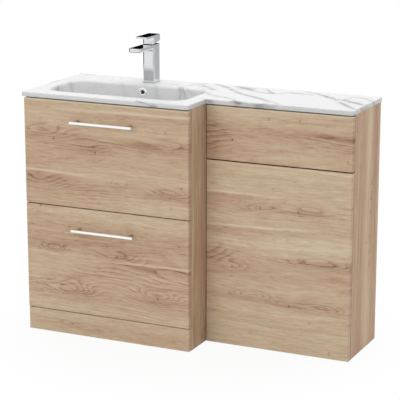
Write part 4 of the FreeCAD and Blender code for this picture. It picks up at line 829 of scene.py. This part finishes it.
def smooth_sides(tree, mesh):
    """Round sides shade smooth, and edges stay sharp."""
    mesh = add(tree, "GeometryNodeSetShadeSmooth", {"domain": "FACE"}, Geometry=mesh, Shade_Smooth=True)
    turn = add(tree, "GeometryNodeInputMeshEdgeAngle")
    sharp = add(tree, "FunctionNodeCompare", {"data_type": "FLOAT", "operation": "GREATER_THAN"}, A=turn, B=SHARP_TURN)
    return add(tree, "GeometryNodeSetShadeSmooth", {"domain": "EDGE"}, Geometry=mesh, Selection=sharp,
               Shade_Smooth=False)


print("edges stay sharp from", SHARP_TURN, "radians")

# %% Tree of a fastener
FASTENER_SIZES = ("Head Radius", "Head Height", "Shank Radius", "Shank Length", "Recess Reach", "Recess Depth")
HEAD_SIDES, SHANK_SIDES = 36, 24
HEAD_OVERLAP = 0.9
RECESS_ARMS, RECESS_WAIST = 4, 0.32


def make_fastener():
    """A head with a cross recess on a shank, set at each point along its direction."""
    tree, given, result = geometry_tree("fastener", FASTENER_SIZES)
    head = add(tree, "GeometryNodeMeshCylinder", Vertices=HEAD_SIDES, Radius=given["Head Radius"],
               Depth=given["Head Height"])
    head = lift(tree, head, times(tree, given["Head Height"], -0.5))
    shank = add(tree, "GeometryNodeMeshCylinder", Vertices=SHANK_SIDES, Radius=given["Shank Radius"],
                Depth=given["Shank Length"])
    start = times(tree, given["Head Height"], -HEAD_OVERLAP)
    shank = lift(tree, shank, weigh(tree, given["Shank Length"], -0.5, start))

    star = add(tree, "GeometryNodeCurveStar", Points=RECESS_ARMS, Outer_Radius=given["Recess Reach"],
               Inner_Radius=times(tree, given["Recess Reach"], RECESS_WAIST))
    foot = times(tree, given["Recess Depth"], -1.0)
    way = add(tree, "GeometryNodeCurvePrimitiveLine", Start=vector_of(tree, 0.0, 0.0, foot),
              End=vector_of(tree, 0.0, 0.0, given["Recess Depth"]))
    cutter = add(tree, "GeometryNodeCurveToMesh", Curve=way, Profile_Curve=star, Fill_Caps=True)
    one = smooth_sides(tree, join(tree, "DIFFERENCE", join(tree, "UNION", head, shank), cutter))

    facing = add(tree, "GeometryNodeInputNamedAttribute", {"data_type": "FLOAT_VECTOR"}, Name="facing")
    turn = add(tree, "FunctionNodeAlignRotationToVector", {"axis": "Z"}, Vector=facing)
    copies = add(tree, "GeometryNodeInstanceOnPoints", Points=given["Geometry"], Instance=one, Rotation=turn)
    return finish_tree(tree, given, result, copies)


fastener = make_fastener()

# %% Tree of a thread
THREAD_SIZES = ("Radius", "Height", "Pitch", "Ridge")
STEPS_A_TURN, RIDGE_SIDES = 40, 6


def make_thread():
    """A ridge swept along a spiral, upwards from each point."""
    tree, given, result = geometry_tree("thread", THREAD_SIZES)
    turns = calc(tree, "DIVIDE", given["Height"], given["Pitch"])
    path = add(tree, "GeometryNodeCurveSpiral", Resolution=STEPS_A_TURN, Start_Radius=given["Radius"],
               End_Radius=given["Radius"], Height=given["Height"], Rotations=turns)
    ridge = add(tree, "GeometryNodeCurvePrimitiveCircle", Resolution=RIDGE_SIDES, Radius=given["Ridge"])
    swept = add(tree, "GeometryNodeCurveToMesh", Curve=path, Profile_Curve=ridge, Fill_Caps=True)
    swept = add(tree, "GeometryNodeSetShadeSmooth", {"domain": "FACE"}, Geometry=swept, Shade_Smooth=True)
    copies = add(tree, "GeometryNodeInstanceOnPoints", Points=given["Geometry"], Instance=swept)
    return finish_tree(tree, given, result, copies)


thread = make_thread()

# %% [markdown]
# A tree needs points to work on. The CAD mesh of a group of fasteners is loose triangles, so a merged copy is split
# into its separate solids, and the box of each solid gives the middle of the end that the driver would reach.

# %% Separate solids
MERGE = 1e-6


def solids_of(name):
    """Lowest and highest corner of each separate solid of a node."""
    shape = bmesh.new()
    shape.from_mesh(nodes[name].data)
    bmesh.ops.remove_doubles(shape, verts=shape.verts, dist=MERGE)
    left, found = set(shape.verts), []
    while left:
        group = [left.pop()]
        for vert in group:
            near = {edge.other_vert(vert) for edge in vert.link_edges} & left
            left -= near
            group.extend(near)
        found.append([Vector([pick(v.co[axis] for v in group) for axis in range(3)]) for pick in (min, max)])
    shape.free()
    return sorted(found, key=lambda corners: tuple(round(c, 5) for c in corners[0]))


cam_solids = solids_of("cam_fittings")
print("cam solids", len(cam_solids))

# %% Places of the fasteners
FRONT_HALF = 0.05


def end_face(corners, axis, side):
    """Middle of a solid's end and the way that it faces."""
    spot = (corners[0] + corners[1]) / 2
    spot[axis] = corners[1][axis] if side > 0 else corners[0][axis]
    way = Vector((0, 0, 0))
    way[axis] = side
    return spot, way


def cam_place(corners):
    """A cam shows under the base, behind the front rails and before the rear rails."""
    size = corners[1] - corners[0]
    if size.z < size.y:
        return end_face(corners, 2, -1)
    return end_face(corners, 1, 1 if corners[0].y < FRONT_HALF else -1)


CAMS = [cam_place(solid) for solid in cam_solids]
BOLT_ENDS = [end_face(solid, 0, side) for solid in solids_of("unit_connectors") for side in (-1, 1)]
print("cams", len(CAMS), "bolt ends", len(BOLT_ENDS))

# %% From points to a piece
def places_mesh(name, places):
    """Points with a direction each."""
    mesh = bpy.data.meshes.new(name + "_places")
    mesh.from_pydata([spot for spot, way in places], [], [])
    facing = mesh.attributes.new("facing", "FLOAT_VECTOR", "POINT")
    for row, (spot, way) in zip(facing.data, places):
        row.vector = way
    return mesh


def run_tree(tree, name, mesh, values):
    """Run a tree on a mesh, and keep the result as a plain piece."""
    piece = bpy.data.objects.new(name, mesh)
    scene.collection.objects.link(piece)
    modifier = piece.modifiers.new("made", "NODES")
    modifier.node_group = tree
    for item in tree.interface.items_tree:
        if item.in_out == "INPUT" and item.name in values:
            modifier[item.identifier] = values[item.name]
    graph = bpy.context.evaluated_depsgraph_get()
    result = bpy.data.meshes.new_from_object(piece.evaluated_get(graph), depsgraph=graph)
    piece.modifiers.clear()
    result.materials.clear()
    result.materials.append(values["Finish"])
    piece.data = result
    result.name = name
    bpy.data.meshes.remove(mesh)
    print(name, len(result.polygons), "faces")
    return piece


print("helpers for made pieces are ready")

# %% Cams, screws and bolts
HANDLE_SCREW = (0.004, 0.0025, 0.002, 0.03025, 0.0022, 0.0014)
FASTENERS = [
    # node, body, places, and the sizes of head, shank and recess in metres
    ("cam_fittings", "unit", CAMS, (0.0075, 0.0012, 0.0072, 0.0114, 0.0042, 0.003)),
    ("top_handle_screws", "top_drawer", [end_face(s, 1, 1) for s in solids_of("top_handle_screws")], HANDLE_SCREW),
    ("bottom_handle_screws", "bottom_drawer", [end_face(s, 1, 1) for s in solids_of("bottom_handle_screws")],
     HANDLE_SCREW),
    ("unit_connectors", "unit", BOLT_ENDS, (0.007, 0.0025, 0.004, 0.01825, 0.003, 0.0016)),
]
for node, body, places, sizes in FASTENERS:
    piece = run_tree(fastener, node + "_driven", places_mesh(node, places),
                     {**dict(zip(FASTENER_SIZES, sizes)), "Finish": FINISHES[SLOT_OF[node]]})
    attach(piece, body)
    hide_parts(node)

# %% Threads
def foot_of(node, above):
    """A point on a node's upright axis, a little above its foot."""
    low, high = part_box(node)
    return (low[0] + high[0]) / 2, (low[1] + high[1]) / 2, low[2] + above


THREADS = [
    # name, node, height above the node's foot, and radius, height, pitch and ridge in metres
    ("waste_trap_thread", "waste_body", 0.0012, (0.0207, 0.0276, 0.0023, 0.00055)),
    ("tap_stud_thread", "tap_stud", 0.001, (0.0038, 0.033, 0.00125, 0.0004)),
]
for name, node, above, sizes in THREADS:
    piece = run_tree(thread, name, places_mesh(name, [(foot_of(node, above), (0, 0, 1))]),
                     {**dict(zip(THREAD_SIZES, sizes)), "Finish": FINISHES[SLOT_OF[node]]})
    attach(piece, "unit")

# %% [markdown]
# ## The studio
# The photograph has a pure white ground and soft light from all round, a little stronger from above. More light would
# whiten the ground, but the boards would bleach with it, so the floor and the world are white only to the camera and
# in reflections, and the floor keeps a faint shadow. Three large lamps shape the boards. Chrome shows what stands
# around it, so plain cards stand about the part, as flags do in a studio: two black ones behind the tap darken its
# upper faces, a dark one to the left and one in front draw dark lines on rounded chrome, and a grey one on the floor
# far behind tones the tap's right side. The cards show in reflections only.

# %% Floor
FLOOR_REACH = 9.0


def plate(name, low, high):
    """A level or upright rectangle between two opposite corners."""
    first, second = [axis for axis in range(3) if low[axis] != high[axis]]
    corners = []
    for along, across in ((low, low), (high, low), (high, high), (low, high)):
        corner = list(low)
        corner[first], corner[second] = along[first], across[second]
        corners.append(corner)
    mesh = bpy.data.meshes.new(name)
    mesh.from_pydata(corners, [], [(0, 1, 2, 3)])
    made = bpy.data.objects.new(name, mesh)
    scene.collection.objects.link(made)
    return made


floor = plate("floor", (-FLOOR_REACH, -FLOOR_REACH, 0), (FLOOR_REACH, FLOOR_REACH, 0))
print("floor", 2 * FLOOR_REACH, "m wide")

# %% Finish of the floor
FLOOR_TONES, FLOOR_NOISE = [(0.3, (236, 236, 236)), (0.7, (240, 240, 240))], (3.0, 3.0, 3.0)
SHADOW, SHADOW_FADES = 0.08, (0.35, 0.85)
MATT = 0.9


def seen_directly(tree):
    """1 for rays from the camera, in a mirror or through glass."""
    path = tree.nodes.new("ShaderNodeLightPath").outputs
    both = calc(tree, "MAXIMUM", path["Is Camera Ray"], path["Is Glossy Ray"])
    return calc(tree, "MAXIMUM", both, path["Is Transmission Ray"])


def floor_finish():
    """A matt floor that glows white where it is seen, but for a share that takes the shadow."""
    finish, tree, shader = new_finish("pale_floor")
    shader["Roughness"].default_value = MATT
    feed(tree, shader["Base Color"], ramp(tree, noise(tree, place_of(tree), FLOOR_NOISE), FLOOR_TONES))
    far = fade(tree, vector_calc(tree, "LENGTH", place_of(tree)), *SHADOW_FADES)
    share = times(tree, seen_directly(tree), weigh(tree, far, SHADOW, 1 - SHADOW))
    mix = tree.nodes.new("ShaderNodeMixShader")
    feed(tree, mix.inputs[0], share)
    feed(tree, mix.inputs[1], tree.nodes["Principled BSDF"].outputs[0])
    feed(tree, mix.inputs[2], tree.nodes.new("ShaderNodeEmission").outputs[0])
    feed(tree, tree.nodes["Material Output"].inputs["Surface"], mix.outputs[0])
    return finish


floor.data.materials.append(floor_finish())
print("floor in", floor.data.materials[0].name)

# %% World and cards
AMBIENT = 0.46
BLACK = (8, 8, 8)
world = bpy.data.worlds.new("studio")
scene.world = world
world.use_nodes = True
sky = world.node_tree.nodes["Background"].inputs
sky["Color"].default_value = (1, 1, 1, 1)
feed(world.node_tree, sky["Strength"],
     weigh(world.node_tree, seen_directly(world.node_tree), 1 - AMBIENT, AMBIENT))


def card(name, low, high, colour):
    """A card of an even colour that shows in reflections only."""
    made = plate(name, low, high)
    finish, tree, shader = new_finish(name)
    shader["Base Color"].default_value = (0, 0, 0, 1)
    shader["Specular IOR Level"].default_value = 0.0
    shader["Emission Color"].default_value = linear(colour)
    shader["Emission Strength"].default_value = 1.0
    made.data.materials.append(finish)
    for way in ("camera", "diffuse", "transmission", "volume_scatter", "shadow"):
        setattr(made, "visible_" + way, False)


card("black_card", (-0.52, 0.40, 0.990), (-0.27, 0.40, 1.17), BLACK)
card("high_flag", (-0.42, 0.20, 0.925), (-0.232, 0.20, 1.0), BLACK)
card("left_card", (-1.6, -1.8, 0.0), (-1.6, 2.0, 0.79), (72, 72, 72))
card("right_card", (-0.10, -1.2, 0.20), (2.1, -1.2, 0.65), (16, 16, 16))
card("grey_card", (1.6, 4.4, 0.004), (3.6, 7.4, 0.004), (199, 199, 200))

# %% Lamps
def softbox(name, place, target, size, power):
    """A square lamp that looks at a point."""
    data = bpy.data.lights.new(name, "AREA")
    data.size = size
    data.energy = power
    made = bpy.data.objects.new(name, data)
    made.location = place
    made.rotation_euler = (Vector(target) - Vector(place)).to_track_quat("-Z", "Y").to_euler()
    made.visible_glossy = False
    scene.collection.objects.link(made)
    print(name, size, "m wide,", power, "W")


softbox("lamp_over", (-0.2, 0.3, 3.8), (0.0, 0.1, 0.4), 3.0, 63)
softbox("lamp_front", (-0.75, -4.8, 2.1), (0.0, 0.0, 0.45), 3.4, 80)
softbox("lamp_right", (4.4, 1.7, 1.5), (0.2, 0.0, 0.4), 2.6, 52)

# %% [markdown]
# ## The camera
# The photograph was taken with a long lens from the front right, a little above the top. A camera could be aimed by
# eye, but then the edges would drift apart, so the numbers come from fitting a perspective camera to the corners of
# the two cabinets.

# %% Camera
FACING, DIP, ROLL = math.radians(-24.903), math.radians(-13.861), math.radians(0.030)
STATION = Vector((2.1665, -4.6522, 1.7333))
FOCAL_PIXELS, IMAGE_PIXELS = 1606.7, 400.0
SENSOR, FARTHEST = 36.0, 100.0

forward = Vector((math.sin(FACING) * math.cos(DIP), math.cos(FACING) * math.cos(DIP), math.sin(DIP)))
level = Vector((math.cos(FACING), -math.sin(FACING), 0))
upward = level.cross(forward)
right = level * math.cos(ROLL) + upward * math.sin(ROLL)
up = upward * math.cos(ROLL) - level * math.sin(ROLL)
camera_data = bpy.data.cameras.new("camera")
camera_data.sensor_width = SENSOR
camera_data.lens = FOCAL_PIXELS / IMAGE_PIXELS * SENSOR
camera_data.clip_end = FARTHEST
camera = bpy.data.objects.new("camera", camera_data)
camera.matrix_world = Matrix.Translation(STATION) @ Matrix((right, up, -forward)).transposed().to_4x4()
scene.collection.objects.link(camera)
scene.camera = camera
print("lens", round(camera_data.lens, 2), "mm")
